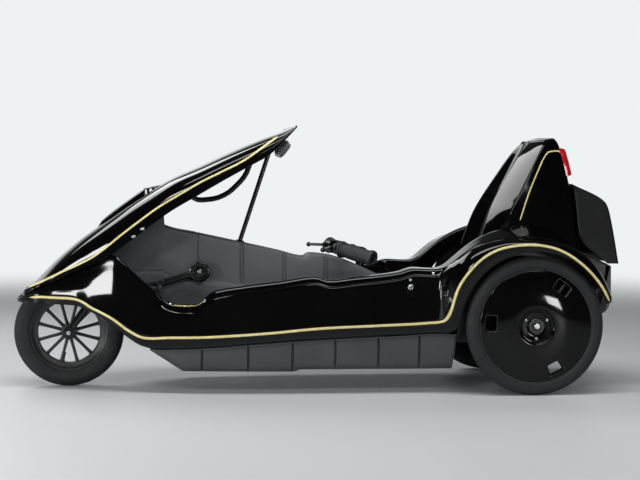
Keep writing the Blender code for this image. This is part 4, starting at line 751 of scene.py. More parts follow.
def build_tail():
    """The tail: plan loops with rounded corners, closed by a low domed top."""
    levels = spread(TAIL[:, 0], 0.006, 3)
    rows = even_out(flow(TAIL[:, 0], TAIL, levels), 2)
    loops = tail_loops(rows)
    soft = np.array([0.012, 0.0045, 0.030, 0.006, 0.016, 0.030, 0.030])
    radius = np.concatenate([soft, soft[::-1]])[None, :, None]
    grid = rounded(loops, radius, 7)
    top = grid[-1]
    middle = top.mean(axis=0)
    caps = []
    for k in range(1, 8):
        turn = 0.5 * math.pi * k / 8
        shrink = np.array([0.86 + 0.14 * math.cos(turn), 0.80 + 0.20 * math.cos(turn), 1.0])
        ring = middle + (top - middle) * shrink
        ring[:, 2] = top[:, 2] + 0.005 * math.sin(turn)
        caps.append(ring)
    for share in (0.7, 0.35):
        ring = middle + (caps[6] - middle) * (share, share, 1.0)
        ring[:, 2] = caps[6][:, 2] + 0.0004
        caps.append(ring)
    grid = np.concatenate([grid, np.array(caps)])
    rows_n, columns = grid.shape[:2]
    verts = grid.reshape(-1, 3)
    faces = quads(rows_n, columns, loop_columns=True)
    last = verts[-columns:].mean(axis=0)
    verts = np.vstack([verts, last])
    base = (rows_n - 1) * columns
    faces += [[base + j, base + (j + 1) % columns, len(verts) - 1] for j in range(columns)]
    put("tail_shell", (verts, faces), PAINT, BODY, ("tail_fairing",), 36.0, WALL,
        (0.66, 0, 0.52))
    coach_line("tail_line", tree_of((verts, faces)), TAIL_LINE, 0.0038, 120)


def build_lens():
    """The lamp lens: half width times t across, its depth falling off as (1 - |t|^16)^(1/3), with
    moulded level ribs, closed at top and bottom by drawing the depth in."""
    z = np.linspace(0.6145, 0.6955, 72)
    t = np.sin(np.linspace(-np.pi / 2, np.pi / 2, 61))[None]
    half = flow(TAIL[:, 0], TAIL[:, 4], z)[:, None] - 0.0030
    back = flow(TAIL[:, 0], TAIL[:, 1], z)[:, None] + 0.0006
    end = np.clip(np.minimum(z - z[0], z[-1] - z)[:, None] / 0.006, 0, 1)
    swell = np.sqrt(1 - (1 - end) ** 2) * (1 - np.abs(t) ** 16) ** (1 / 3)
    ribs = 0.0005 * np.cos(2 * np.pi * z[:, None] / 0.0055) * end
    x = back + (0.0162 + ribs) * swell
    front = stacked(x, half * t, z[:, None])
    rear = stacked(back - 0.006, half * t, z[:, None])
    loops = np.concatenate([front, rear[:, ::-1]], axis=1)
    put("lamp_lens", capped(loops), LENS, BODY, ("tail_lamp",), 50.0)


# Seat pan: x, middle z, side edge z, half width
SEAT = mm((
    (215, 312, 318, 150), (235, 303, 322, 190), (290, 262, 322, 206), (350, 238, 318, 208),
    (415, 234, 330, 208), (458, 252, 352, 208), (490, 308, 372, 208)))


def build_seat():
    """The pan: five key points a station from side edge to middle, then the foot of the back."""
    x, middle, edge, half = SEAT.T
    rise = edge - middle
    keys = np.stack([stacked(x, y, z) for y, z in (
        (half, edge), (half - 0.004, middle + 0.55 * rise), (half - 0.030, middle + 0.12 * rise),
        (half * 0.55, middle + 0.01 * rise), (0, middle))], axis=1)
    z, _, break_x, front_x, _, _, front_half, dish = TAIL[0]
    z -= 0.0012
    last = np.array([(break_x - 0.012, 0.2080, z), (front_x + 0.030, front_half + 0.020, z),
                     (front_x + 0.40 * dish, front_half - 0.020, z),
                     (front_x + 0.92 * dish, front_half * 0.50, z), (front_x + dish + 0.004, 0.0, z)])
    keys = np.concatenate([keys, last[None]])
    along = lengths(keys[:, 4])
    rows = even_out(flow(along, keys, spread(along, 0.012, 3)), 2)
    knots = np.array([0.0, 0.8, 1.8, 3.0, 4.4])
    grid = round_section(knots, rows, spread(knots, 0.2, 3))
    grid[:, -1, 1] = 0
    put("seat_pan", both_sides(grid), PAINT, BODY, ("seat",), 50.0, WALL, (0.33, 0, 0.9))


# Tub: x, floor z, half width and lower edge of the shell above it
TUB = mm((
    (-481, 119, 233, 126.2), (-460, 105, 240, 125), (-434, 88.5, 248, 125.5), (-400, 67, 257, 126.5),
    (-387, 60, 260.5, 127.1), (-280, 60, 280, 134), (-150, 60, 295.5, 145), (-78, 60, 300.5, 150.5),
    (-58, 66, 302, 152), (100, 66, 306, 160), (220, 66, 309, 165.8), (330, 66, 311, 171.2),
    (374, 66, 311, 169), (380, 160, 311, 169)))
TUB_GROOVES = mm((-337, -208, -84, 36, 158, 274))
CONSOLE_GROOVES = mm((-340, -213, -90, 33))


def groove(x, places, half, depth):
    """Depth of grooves at stations: depth (1 - (d / half)^4) within half of each."""
    away = np.min(np.abs(x[:, None] - places[None]), axis=1)
    return depth * np.clip(1 - (away / half) ** 4, 0, 1)


def grooved_stations(start, end, places, half, spacing):
    """Stations along x, closer together across each groove."""
    fine = (places[:, None] + half * np.linspace(-1.3, 1.3, 13)[None]).ravel()
    both = np.unique(np.round(np.concatenate([np.arange(start, end, spacing), fine, [end]]), 6))
    return both[(both >= start) & (both <= end)]


def build_tub():
    """The tub: floor, coved corner, side and flange, with grooves pressed into its side."""
    x = grooved_stations(-0.481, 0.380, TUB_GROOVES, 0.0042, 0.006)
    floor, half, edge = flow(TUB[:, 0], TUB[:, 1:], x).T
    side = half - 0.034
    flange = edge - 0.0012 - WALL
    rise = flange - floor
    cut = groove(x, TUB_GROOVES, 0.0036, 0.0080)
    keys = ((0, floor), (side - 0.100, floor), (side - 0.040, floor),
            (side - 0.012 - cut, floor + 0.16 * rise),
            (side - 0.003 - cut, floor + 0.50 * rise), (side - cut, flange - 0.02 * rise - 0.0005),
            (half - 0.020, flange))
    knots = np.array([0.0, 1.2, 2.0, 3.0, 4.0, 5.0, 5.5])
    grid = from_sections(x, knots, keys, spread(knots, 0.12, 4))
    # the tub's grey is darkened as painted shade for the shade under the sill
    put("tub_moulding", both_sides(grid), SHADED_GREY, BODY, ("lower_tub",), 50.0, WALL,
        (0, 0, 0.5))


# Console: x, top z, top half width
CONSOLE = mm((
    (-590, 435, 46), (-545, 470, 50), (-500, 485, 52), (-440, 515, 55), (-437, 470, 55), (-347, 448, 56),
    (-218, 420, 57), (-97, 393, 58), (-27, 377, 58), (-10, 386, 58), (32, 383, 57), (85, 370, 56),
    (150, 342, 55), (205, 316, 54)))
TOE_BOARD = mm((
    (-552, 300), (-545, 280), (-525, 225), (-500, 165), (-484, 134)))


def build_console():
    """The tunnel cover: foot, flared side, crease, upper side, rounded roof; double grooves
    are pressed into its upper side and roof only."""
    places = np.concatenate([CONSOLE_GROOVES[1:] - 0.0042, CONSOLE_GROOVES[1:] + 0.0042, CONSOLE_GROOVES[:1]])
    x = grooved_stations(-0.590, 0.205, places, 0.0032, 0.006)
    x = np.unique(np.concatenate([x, np.linspace(-0.4412, -0.4358, 9)]))
    half = np.interp(x, CONSOLE[:, 0], CONSOLE[:, 2])
    top = flow(CONSOLE[:, 0], CONSOLE[:, 1], x)
    floor = flow(TUB[:, 0], TUB[:, 1], x)
    base = np.where(x > -0.387, 0.0693, np.where(x > -0.481, floor + 0.005,
                    np.interp(x, TOE_BOARD[:, 0], TOE_BOARD[:, 1]) + 0.005))
    base = np.where(x < -0.552, 0.310, base)
    crease = np.minimum(base + 0.62 * (top - base), 0.333)
    cut = groove(x, places, 0.0026, 0.0034)
    keys = ((half + 0.016, base), (half + 0.012, crease), (half + 0.006, crease + 0.010),
            (half + 0.005 - cut, crease + 0.016), (half - cut, top - 0.010),
            (half - 0.0025 - cut, top - 0.003 - 0.4 * cut), (half - 0.009 - cut, top - 0.6 * cut),
            (0.4 * half, top), (0, top))
    knots = np.array([0.0, 3.0, 3.5, 3.9, 5.6, 6.0, 6.4, 7.4, 8.4])
    grid = from_sections(x, knots, keys, spread(knots, 0.25, 3))
    put("tunnel_cover", both_sides(grid), PALE, BODY, ("centre_console",), 38.0, WALL,
        (-0.2, 0, 0.2))


# Boot lid side outline: x, z, half width, and the cheek's inner line beside it
LID = mm((
    (738.5, 591.5, 168, 744, 586, 170), (830, 545.5, 175, 748, 535, 181), (843, 529, 178, 753, 470, 190),
    (855.5, 470, 187, 758, 431, 196), (872, 361, 198, 838.5, 361.2, 198)))


def build_lid():
    """The lid: at each step round its side outline a section runs from the cheek's inner line
    out to the edge, turns a 6 mm corner and crosses the roof or rear, bulged by 2 mm."""
    knots = lengths(LID[:, :2])
    rows = even_out(flow(knots, LID, spread(knots, 0.005, 3)), 2)
    outer = rows[:, (0, 2, 1)]
    inner = rows[:, (3, 5, 4)]
    cheek = outer - inner
    reach = np.linalg.norm(cheek, axis=1, keepdims=True)
    inward = -cheek / np.maximum(reach, 1e-6)
    size = np.minimum(0.0065, 0.45 * reach)
    parts = [inner[:, None] + np.linspace(0, 1, 12)[None, :, None] * (cheek + inward * size)[:, None]]
    t = np.linspace(0, 1, 8)[None, 1:, None]
    start = (outer + inward * size)[:, None]
    end = (outer + size * (0, -1, 0))[:, None]
    parts.append(corner_curve(start, outer[:, None], end, t))
    share = np.linspace(0, 1, 14)[None, 1:, None]
    middle = end * (1, 0, 1)
    out = np.insert(square_left(outer[:, [0, 2]]), 1, 0.0, axis=1)
    fade = np.clip(np.minimum(np.arange(len(out)), np.arange(len(out))[::-1]) / 8.0, 0, 1)[:, None]
    bulge = (out * fade * 0.002)[:, None] * (1 - (1 - share) ** 2)
    parts.append(end + (middle - end) * share + bulge)
    grid = np.concatenate(parts, axis=1)
    hinge = [turned([(0.0, a), (0.0036, a), (0.0040, a + 0.001), (0.0040, b - 0.001), (0.0036, b), (0.0, b)],
                    (0.7366, 0.0, 0.590), (0, 1, 0), 20, False)
             for a, b in mm(((-150, -95), (-90, -35), (-30, 30), (35, 90), (95, 150)))]
    put("lid_panel", both_sides(grid), SATIN, "boot_lid", ("boot_lid",), 45.0, WALL,
        (0.78, 0, 0.45))
    put("lid_hinge", joined(*hinge), PLATED, "boot_lid")
    # a recessed catch at the foot of its rear face
    foot = np.array((0.8668, 0.0, 0.395))
    face = np.array((0.989, 0.0, 0.150))
    plate = slab(oval(0.052, 0.022, 4.0), 0.0024, 0.0008, foot + face * 0.0012, face)
    knob = turned(mm([(0, 0), (7.5, 0), (7.5, 4.6), (6.2, 5.6), (0, 5.6)]), foot + face * 0.002, face, 28,
                  False)
    put("lid_catch", joined(plate, knob), BLACK, "boot_lid")


# Wheels
def tyre_shape(centre, radius, width, bead, blocks, count=240):
    """The tyre: bead, sidewall with two raised rings, shoulder and crown by a superellipse,
    turned about the axle; grooves are cut where the place lies in a zigzag's gaps."""
    ring_height, groove_depth = 0.0011, 0.0014
    half = width / 2
    depth = radius - bead
    t = np.linspace(-np.pi / 2, np.pi / 2, 61)
    y = half * np.sign(np.sin(t)) * np.abs(np.sin(t)) ** 0.92
    r = bead + depth * (0.40 + 0.60 * np.abs(np.cos(t)) ** 0.80)
    ring = ring_height * np.exp(-((r - bead - 0.50 * depth) / (0.055 * depth)) ** 2)
    y = np.clip(y + np.sign(y) * ring * (np.abs(t) > 0.7), -half, half)
    flat = np.array([(bead, -0.80 * half), (bead + 0.0035, -0.90 * half),
                     (bead + 0.14 * depth, -0.955 * half), (bead + 0.26 * depth, -0.985 * half)])
    r = np.concatenate([flat[:, 0], r, flat[::-1, 0]])
    y = np.concatenate([flat[:, 1], y, -flat[::-1, 1]])
    a = 2 * np.pi * np.arange(count) / count
    aa, yy = np.meshgrid(a, y, indexing="xy")
    rr = np.broadcast_to(r[:, None], aa.shape).copy()
    crown = rr > bead + 0.80 * depth
    lines = np.min(np.abs(np.abs(yy)[..., None] / half - np.array([0.0, 0.34, 0.62])), axis=2) < 0.045
    phase = (aa * blocks / (2 * np.pi) + 0.9 * np.abs(yy) / half + 0.5 * (yy > 0)) % 1.0
    gaps = (phase < 0.20) & (np.abs(yy) > 0.34 * half)
    rr = rr - groove_depth * (crown & (lines | gaps))
    grid = stacked(rr * np.cos(aa), yy, rr * np.sin(aa)) + np.asarray(centre)
    return grid.reshape(-1, 3), quads(len(r), count, True, True)


def spoke(centre, turn, inner, outer, wide, thin):
    """A tapered round-edged spoke from hub to rim, set at an angle about the axle."""
    s = np.linspace(0, 1, 9)
    radial = inner + (outer - inner) * s
    place = radial[:, None] * clock(turn)
    flare = 1 + 0.35 * (2 * s - 1) ** 4
    loop = oval(1.0, 1.0, 3.0, 16)
    side = clock(turn + np.pi / 2)
    ring = (wide * flare)[:, None, None] * loop[None, :, :1] * side + thin * loop[None, :, 1:] * (0, 1, 0)
    return capped(np.asarray(centre) + place[:, None] + ring)


def rim_profile(radius, half, depth, well):
    """Bead seats, flanges and a well, with the inner face of the moulding under them."""
    seat = both_ends([(radius + 0.0035, -half), (radius + 0.0030, -half + 0.003),
                      (radius - 0.002, -half + 0.006), (radius - well, -half * 0.35)])
    return np.vstack([seat, both_ends([
        (radius + 0.0005, half + 0.0006), (radius - 0.0035, half - 0.001), (radius - 0.006, half * 0.80),
        (radius - depth + 0.002, half * 0.62), (radius - depth, half * 0.45)])])


def build_front_wheel():
    """Moulded wheel with twelve tapered spokes, its valve and the tyre."""
    hub = turned(both_ends(mm([(8.4, -21), (15, -21.2), (20.5, -19.5), (22.5, -16), (21.5, -6)])),
                 FRONT_HUB, (0, 1, 0), 64)
    parts = [turned(rim_profile(0.1115, 0.0200, 0.0225, 0.010), FRONT_HUB, (0, 1, 0), 144), hub]
    for k in range(12):
        parts.append(spoke(FRONT_HUB, math.radians(30 * k + 15), 0.019, 0.0905, 0.0092, 0.0130))
    put("front_wheel_moulding", joined(*parts), BLACK, "front_wheel", ("front_rim",), 38.0)
    put("front_tread", tyre_shape(FRONT_HUB, 0.1585, 0.054, 0.1122, 44), TYRE, "front_wheel",
        ("front_tyre",), 30.0)
    out = clock(math.radians(256.5))
    valve = turned(mm([(0, -1), (7.2, -1), (7.8, 3), (6.2, 8), (5.6, 20), (6, 21), (6, 27), (4.8, 28.5),
                       (0, 28.5)]), FRONT_HUB + out * 0.0905, -out, 24, False)
    put("front_valve", valve, GRIP, "front_wheel")


# Cover windows: how far out they lie, and half their size outwards and round the wheel
WINDOW_OUT = 0.129
WINDOW_HALF = (0.0165, 0.0225)


def build_rear_wheel(name, sign):
    """Disc cover, domed as rise (1 - (1 - t)^2.2) from its edge to the hub recess, with three
    windows whose edges are snapped to a rectangle, over a spoked rim."""
    centre = np.array((REAR_X, sign * REAR_Y, REAR_Z))
    t = np.linspace(0, 1, 56)
    r = 0.157 + (0.053 - 0.157) * t
    y = COVER_EDGE + COVER_DOME * (1 - (1 - t) ** 2.2)
    rolled = mm([(153.5, -4.2), (156, -4), (157.4, -2.4), (157.6, -0.8)]) + (0, COVER_EDGE)
    recess = mm([(48.8, 3), (47, 2), (44, 1.8), (42.5, 4), (40.5, 4), (39, 1.8), (30, 1.4),
                 (12, 1)]) + (0, COVER_FLOOR)
    profile = np.vstack([rolled, stacked(r, y), mm([(51.5, -0.4), (50, -1.4)]) + (0, y[-1]), recess])
    a = 2 * np.pi * np.arange(COVER_STEPS) / COVER_STEPS
    grid = stacked(profile[:, :1] * np.cos(a), sign * profile[:, 1:], profile[:, :1] * np.sin(a)) + centre
    verts = grid.reshape(-1, 3)
    faces = np.array(quads(len(profile), COVER_STEPS, False, True))
    gone = np.zeros(len(faces), bool)
    frames = []
    for k in range(3):
        turn = math.radians(176.0 + 120.0 * k)
        out, side = clock(turn), clock(turn + np.pi / 2)
        # places in the window's own frame, its edge at 1
        local = verts - (centre + out * WINDOW_OUT)
        u, v = (local @ out) / WINDOW_HALF[0], (local @ side) / WINDOW_HALF[1]
        edge = np.maximum(np.abs(u), np.abs(v))
        near = (edge > 0.92) & (edge < 1.09)
        scale = np.where(near, 1 / np.maximum(edge, 1e-6), 1.0) - 1.0
        verts = (verts + (u * WINDOW_HALF[0] * scale)[:, None] * out
                 + (v * WINDOW_HALF[1] * scale)[:, None] * side)
        edge = np.where(near, 1.0, edge)
        gone |= np.all(edge[faces] <= 1.0001, axis=1)
        # a flanged box set into the opening
        box_loop = oval(2 * WINDOW_HALF[0] + 0.0012, 2 * WINDOW_HALF[1] + 0.0012, 9.0, 56)
        level = float(np.interp(WINDOW_OUT, profile[4:60, 0][::-1], profile[4:60, 1][::-1]))
        rings = []
        for shrink, up in ((1.0, 0.0012), (1.0, -0.0105), (0.925, -0.0112), (0.925, 0.0006), (0.955, 0.0014)):
            plan = box_loop * shrink
            slope = -0.12 * plan[:, 0] if up > -0.005 else 0 * plan[:, 0]
            rings.append(centre + out * (WINDOW_OUT + plan[:, :1]) + side * plan[:, 1:]
                         + (level + up + slope)[:, None] * (0, sign, 0))
        rings = np.array(rings)
        frames.append((rings.reshape(-1, 3), quads(len(rings), len(box_loop), True, True)))
    kept = faces[~gone].tolist()
    body = "rear_wheel_" + name
    put("disc_cover_" + name, (verts, kept), PAINT, body, ("wheel_cover_" + name,), 50.0,
        0.0018, tuple(centre - (0, sign * 0.5, 0)))
    put("cover_windows_" + name, joined(*frames), BLACK, body)
    put("rear_tread_" + name, tyre_shape(centre, 0.195, 0.045, 0.1602, 56, 288), TYRE, body,
        ("rear_tyre_" + name,), 30.0)
    parts = [turned(rim_profile(0.1590, 0.0165, 0.0150, 0.009), centre, (0, 1, 0), 160),
             turned(both_ends(mm([(8.4, -17.8), (20.5, -17.6), (22.5, -14)])), centre, (0, 1, 0), 48)]
    for k in range(10):
        parts.append(spoke(centre, 2 * math.pi * (k + 0.5) / 10, 0.019, 0.1455, 0.0105, 0.0130))
    put("rear_wheel_moulding_" + name, joined(*parts), BLACK, body, ("rear_rim_" + name,),
        38.0)
    # bolts that hold the cover, in the recess
    recessed = centre + (0, sign * (COVER_FLOOR + 0.0016), 0)
    heads = [dome(recessed + 0.0345 * clock(b), (0, sign, 0), 0.0042, 0.0026)
             for b in np.radians((30, 150, 270))]
    put("cover_screws_" + name, joined(*heads), PLATED, body, smooth=50.0)


def build_axle(end, body, hub, bar, face, washer, nut, cap):
    """An axle with a washer, a six-sided nut and a turned end on each side. The bar is its radius
    and half length, face where the washer lies, nut its corner radius, depth, edge and place."""
    washers, parts = [], [rod(hub, *bar)]
    for sign in (-1, 1):
        axis = np.array((0.0, sign, 0.0))
        centre = np.array(hub) + axis * face
        washers.append(turned(washer[1], centre, axis, washer[0]))
        washers.append(slab(hexagon(nut[0]), nut[1], nut[2], centre + axis * nut[3], axis))
        parts.append(turned(cap[1], centre, axis, cap[0], False))
    put(end + "_axle_ends", joined(*parts), PLATED, body, (end + "_axle",), 35.0)
    put(end + "_washers", joined(*washers), ENAMEL, body, smooth=35.0)


def build_axles():
    """The rear axle and the front one."""
    build_axle("rear", BODY, (REAR_X, 0, REAR_Z), (0.0080, 0.330), REAR_Y + COVER_FLOOR + 0.0022,
               (56, mm([(8.2, -1), (21.5, -1), (22, 0.4), (22, 1.6), (21.2, 2.4), (8.2, 2.4)])),
               (0.0125, 0.0048, 0.0009, 0.0022),
               (32, mm([(0, 6), (7.8, 6), (7.6, 9), (6, 10.2), (0, 10.4)])))
    build_axle("front", "steering", FRONT_HUB, (0.0078, 0.052), 0.0540,
               (48, mm([(8.2, -0.3), (16.5, -0.3), (17, 0.8), (16, 1.8), (8.2, 1.8)])),
               (0.0108, 0.0030, 0.0008, 0.0015),
               (28, mm([(0, 5), (6, 5), (5.8, 6.2), (4.2, 6.9), (0, 7)])))


# Controls
def build_grips():
    """Moulded grips: an end flange, a shallow wavy hold, two rings and a collar, turned
    about the run of the bar."""
    run = np.array((0.733, 0.643, -0.214))
    run /= np.linalg.norm(run)
    s = np.linspace(0.019, 0.098, 130)
    wave = (0.0206 + 0.0006 * np.cos(2 * np.pi * s / 0.0062)
            + 0.0008 * np.cos(2 * np.pi * (s - 0.05) / 0.075))
    profile = np.vstack([
        mm([(11.3, 0.4), (23.8, 0.4), (24.4, 1.2), (24.4, 5.2), (23.6, 6.2), (20.5, 7), (20.3, 9.2),
            (22.6, 10.4), (22.6, 13), (20.5, 14.2), (20.3, 17)]), stacked(wave, s),
        mm([(20.2, 100.5), (22.8, 102.2), (23.2, 104), (23.2, 110), (22.4, 113), (20, 114.8), (15, 115),
            (13.8, 114.2), (13, 110.5), (11.8, 109.8), (11.3, 109.8)])])
    for name, sign in SIDES:
        axis = run * (1, sign, 1)
        end = np.array((0.150, sign * 0.225, 0.378))
        put("grip_cover_" + name, turned(profile, end - axis * 0.115, axis, 56), GRIP, "handlebar",
            ("grip_" + name,), 35.0)
        plug = turned(mm([(0, 106), (11.2, 106), (11.2, 111.8), (10, 112.6), (0, 112.8)]),
                      end - axis * 0.115, axis, 32, False)
        put("bar_plug_" + name, plug, BLACK, "handlebar")


def build_pedals():
    """Moulded pedals: two treads with raised bars, joined by end webs, round a sleeve."""
    for name, sign in SIDES:
        centre = CRANK_HUB + clock(CRANK_TURN) * CRANK_REACH * sign + (0, sign * (CRANK_Y + 0.012 + 0.036), 0)
        parts = [turned(both_ends(mm([(6.4, -35), (9.8, -35), (10.2, -31)])), centre, (0, 1, 0), 32)]
        for k in (-1, 1):
            parts.append(slab(oval(0.0135, 0.0185, 6.0), 0.070, 0.0018,
                              centre + (k * 0.0315, -0.035, 0), (0, 1, 0)))
            parts.append(slab(oval(0.060, 0.0120, 6.0), 0.0090, 0.0015,
                              centre + (0, k * 0.0260 - 0.0045, 0), (0, 1, 0)))
            for row in range(6):
                for top in (-1, 1):
                    parts.append(slab(oval(0.0125, 0.0042, 4.0, 20), 0.0022, 0.0008,
                                      centre + (k * 0.0315, (row - 2.5) * 0.0112, top * 0.0086),
                                      (0, 0, top), (0, 1, 0)))
        put("pedal_block_" + name, joined(*parts), BLACK, "pedal_" + name, ("pedal_" + name,),
            35.0)


def build_crank():
    """Flattened forged arms with swelled ends on a spindle, dust rings and capped bolts."""
    parts = [rod(CRANK_HUB, 0.0080, 0.088)]
    rings, caps = [], []
    for sign in (-1, 1):
        along = clock(CRANK_TURN) * sign
        axis = (0, sign, 0)
        boss = CRANK_HUB + (0, sign * CRANK_Y, 0)
        s = np.linspace(-0.004, CRANK_REACH + 0.010, 40)
        wide = (0.0088 + 0.0075 * np.exp(-(s / 0.026) ** 2)
                + 0.0040 * np.exp(-((s - CRANK_REACH) / 0.012) ** 2))
        wide = wide * np.sqrt(np.clip(1 - ((s - CRANK_REACH - 0.002) / 0.0125).clip(0) ** 2, 0.05, 1))
        loop = oval(2.0, 2.0, 3.2, 24)
        up = np.cross(along, (0.0, 1.0, 0.0))
        ring = wide[:, None, None] * loop[None, :, :1] * up + 0.0056 * loop[None, :, 1:] * (0, 1, 0)
        parts.append(capped(boss + s[:, None, None] * along + ring))
        parts.append(turned(mm([(0, -7), (22.5, -7), (23.5, -6), (23.5, 5), (22.2, 6.6), (0, 6.6)]),
                            boss, axis, 56, False))
        tip = boss + along * CRANK_REACH
        parts.append(turned(mm([(0, -3), (5.9, -3), (5.9, 86), (5, 88), (0, 88)]), tip, axis, 28, False))
        parts.append(slab(hexagon(0.0090), 0.0040, 0.0008, tip + (0, sign * 0.0056, 0), axis))
        rings.append(turned(mm([(16.5, 5), (29, 5), (30, 6.2), (29.6, 8.4), (27, 9.8), (21.5, 10.2),
                                (17.5, 9.4), (16.5, 8)]), boss, axis, 56))
        rings.append(turned(mm([(0, 6), (16, 6), (15.6, 7), (12, 7.4), (0, 7.4)]), boss, axis, 40, False))
        caps.append(turned(mm([(0, 7), (6.6, 7), (6.6, 7.8), (5.8, 8.8), (5, 9.4), (0, 9.6)]),
                           boss, axis, 40, False))
        caps.append(slab(hexagon(0.0052), 0.0030, 0.0006, boss + (0, sign * 0.0090, 0), axis))
    put("crank_arms", joined(*parts), ENAMEL, "crank", ("crank",), 38.0)
    put("crank_rings", joined(*rings), ENAMEL, "crank", smooth=38.0)
    put("crank_bolts", joined(*caps), PLATED, "crank", smooth=35.0)


def build_key(tree):
    """The key switch: a black plate with two screws, a stepped barrel and a key in it."""
    place, normal = cast(tree, 0.2430, 0.3020)
    normal = np.array((0.0, -0.985, 0.17))
    plate = slab(oval(0.018, 0.052, 3.0), 0.0020, 0.0006, place + normal * 0.0004, normal)
    put("key_plate", plate, PAINT)
    barrel = turned(mm([(0, 1), (7.8, 1), (7.8, 3.4), (6.8, 4.4), (5.2, 4.6), (4.8, 8.2), (3.8, 8.8),
                        (0, 8.8)]), place, normal, 40, False)
    heads = [dome(place + normal * 0.0022 + (0, 0, k), normal, 0.0030, 0.0018) for k in (-0.0195, 0.0195)]
    put("key_barrel", joined(barrel, *heads), PLATED, BODY, ("key_switch",), 35.0)
    bow = slab(oval(0.017, 0.015, 3.0), 0.0020, 0.0006, place + normal * 0.0190 + (-0.001, 0, 0),
               (1, 0, 0), normal)
    stem = slab(oval(0.0066, 0.012, 6.0, 24), 0.0020, 0.0005, place + normal * 0.0090 + (-0.001, 0, 0),
                (1, 0, 0), normal)
    put("key", joined(bow, stem), PLATED)


def build_mirror_glass():
    """A thin oval glass with a moulded bezel, set into the mirror's rider side."""
    lean = math.radians(38)
    face = np.array((math.cos(lean), 0.0, -math.sin(lean)))
    centre = np.array((-0.0915, 0.0, 0.6925))
    glass = slab(oval(0.096, 0.040, 2.3, 64), 0.0030, 0.0009, centre + face * 0.0100, face)
    put("mirror_face", glass, MIRROR)
    loop = oval(1.0, 1.0, 2.3, 64)
    u = np.array((0.0, 1.0, 0.0))
    v = np.cross(face, u)
    rings = [loop[:, :1] * u * w + loop[:, 1:] * v * h + face * d for w, h, d in (
        (0.096, 0.040, 0.0120), (0.100, 0.044, 0.0142), (0.106, 0.050, 0.0132), (0.109, 0.053, 0.0095),
        (0.096, 0.040, 0.0085))]
    rings = np.array(rings) + centre
    put("mirror_bezel", (rings.reshape(-1, 3), quads(5, 64, True, True)), SMOKED)


def build_tray():
    """The boot's rubbing strip: a half round bead along the top edge of the rear tub."""
    x = np.linspace(0.760, 0.845, 24)
    path = stacked(x, 0.1945, np.interp(x, (0.7525, 0.8445), (0.3985, 0.3535)))
    put("boot_bead", mirrored(carried(path, 0.0028, 10, (0, 1, 0))), BLACK)


NODE_FINISH = (
    (PAINT, "nose_shell hood hood_pod side_shell_left side_shell_right wheel_arch_left wheel_arch_right seat "
            "tail_fairing wheel_cover_left wheel_cover_right"),
    # the lower tub takes the grey darkened as painted shade
    (SHADED_GREY, "lower_tub"), (PALE, "toe_board centre_console"), (SATIN, "boot_lid"), (LENS, "tail_lamp"),
    (BLACK, "rear_body boot_bin battery front_rim rear_rim_left rear_rim_right pedal_left pedal_right"),
    (PLATED, "rear_axle front_axle key_switch"), (SMOKED, "hood_mirror"), (GRIP, "grip_left grip_right"),
    (TYRE, "front_tyre rear_tyre_left rear_tyre_right"),
    (ENAMEL, "chassis_frame hood_stay hood_handle front_fork front_brake handlebar brake_lever_left "
             "brake_lever_right crank"))
for node_finish, node_names in NODE_FINISH:
    for node_name in node_names.split():
        for material_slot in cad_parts[node_name].material_slots:
            material_slot.material = node_finish

shell_tree = build_shell()
build_hood()
build_scoop()
build_tail()
build_lens()
build_seat()
build_tub()
build_console()
build_lid()
build_front_wheel()
for side_name, side_sign in SIDES:
    build_rear_wheel(side_name, side_sign)
build_axles()
build_grips()
build_pedals()
build_crank()
build_key(shell_tree)
build_mirror_glass()
build_tray()


# Studio
def build_floor():
    """A round pale floor that fades out towards its edge, so that no horizon shows."""
    a = 2 * np.pi * np.arange(96) / 96
    rings = np.array([0.02, 1.0, 2.0, 3.0, 4.5, 6.0, 8.0])
    grid = rings[:, None, None] * stacked(np.cos(a), np.sin(a), 0)
    mesh = bpy.data.meshes.new("studio_floor")
    faces = quads(len(rings), 96, False, True) + [list(range(96))]
    mesh.from_pydata(grid.reshape(-1, 3).tolist(), [], faces)
    surface, tree, shader = material("studio_floor_finish", "#CFD2D4", 0.50)
    place = add(tree, "ShaderNodeTexCoord").outputs["Object"]
    away = add(tree, "ShaderNodeVectorMath", {0: place}, operation="LENGTH").outputs["Value"]
    fade = remap(tree, away, 2.4, 6.5, 1.0, 0.0, interpolation_type="SMOOTHERSTEP")
    tree.links.new(fade, shader.inputs["Alpha"])
    mesh.materials.append(surface)
    floor = linked("studio_floor", mesh)


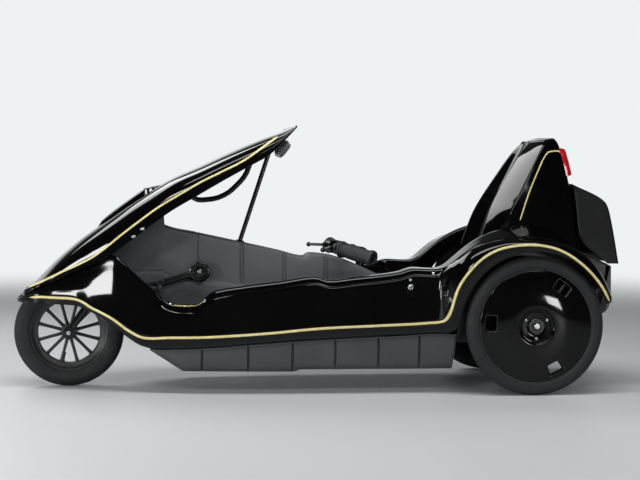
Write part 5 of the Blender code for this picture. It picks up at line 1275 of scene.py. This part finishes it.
def softbox(name, place, target, size, power):
    """A rectangular soft lamp aimed at a place."""
    lamp = bpy.data.lights.new(name, "AREA")
    lamp.shape = "RECTANGLE"
    lamp.size, lamp.size_y = size
    lamp.energy = power
    made = linked(name, lamp)
    made.location = place
    aim = Vector(target) - Vector(place)
    made.rotation_euler = aim.to_track_quat("-Z", "Y").to_euler()


def build_studio():
    """Pale walls and soft lamps."""
    build_floor()
    world = bpy.data.worlds.new("studio_world")
    bpy.context.scene.world = world
    world.use_nodes = True
    tree = world.node_tree
    back = tree.nodes["Background"]
    place = add(tree, "ShaderNodeTexCoord").outputs["Generated"]
    parts = add(tree, "ShaderNodeSeparateXYZ", {"Vector": place})
    # darker on the near side, and dark overhead
    depth = remap(tree, parts.outputs["Y"], -0.4, 0.5, 0.07, 0.97)
    height = remap(tree, parts.outputs["Z"], 0.13, 0.39, 1.0, 0.06)
    both = add(tree, "ShaderNodeMath", {0: depth, 1: height}, operation="MULTIPLY").outputs[0]
    back.inputs["Color"].default_value = linear("#F2F5F6")
    tree.links.new(both, back.inputs["Strength"])
    for name, place, target, size, power in (
            ("top_softbox", (-0.1, -1.0, 2.9), (0, 0, 0.3), (2.8, 0.7), 60),
            ("front_softbox", (-3.47, -2.83, 0.78), (-0.62, -0.17, 0.32), (0.80, 0.50), 46),
            ("tail_softbox", (-1.70, 1.93, 2.50), (0.57, -0.12, 0.60), (2.3, 1.15), 50),
            ("low_softbox", (-4.0, -1.25, 0.36), (0.33, -0.32, 0.25), (0.5, 0.6), 24),
            ("near_softbox", (2.05, -4.65, 0.40), (0.64, -0.37, 0.26), (0.42, 0.40), 16),
            ("hood_softbox", (-1.74, -3.48, 2.40), (-0.42, -0.20, 0.56), (0.5, 0.4), 18),
            ("side_softbox", (0.9, -4.4, 2.6), (0, 0, 0.25), (2.4, 0.5), 36)):
        softbox(name, place, target, size, power)


def build_camera():
    """The photograph's viewing place, worked out from the wheels and the car's length."""
    lens = bpy.data.cameras.new("camera")
    lens.lens = 96.9
    lens.sensor_width = 36.0
    made = linked("camera", lens)
    made.location = (-0.5407, -5.0596, 0.6207)
    made.rotation_euler = (math.radians(90 - 2.22), math.radians(-0.14), -0.1106)
    bpy.context.scene.camera = made


build_studio()
build_camera()
bpy.context.scene.view_settings.view_transform = "Standard"
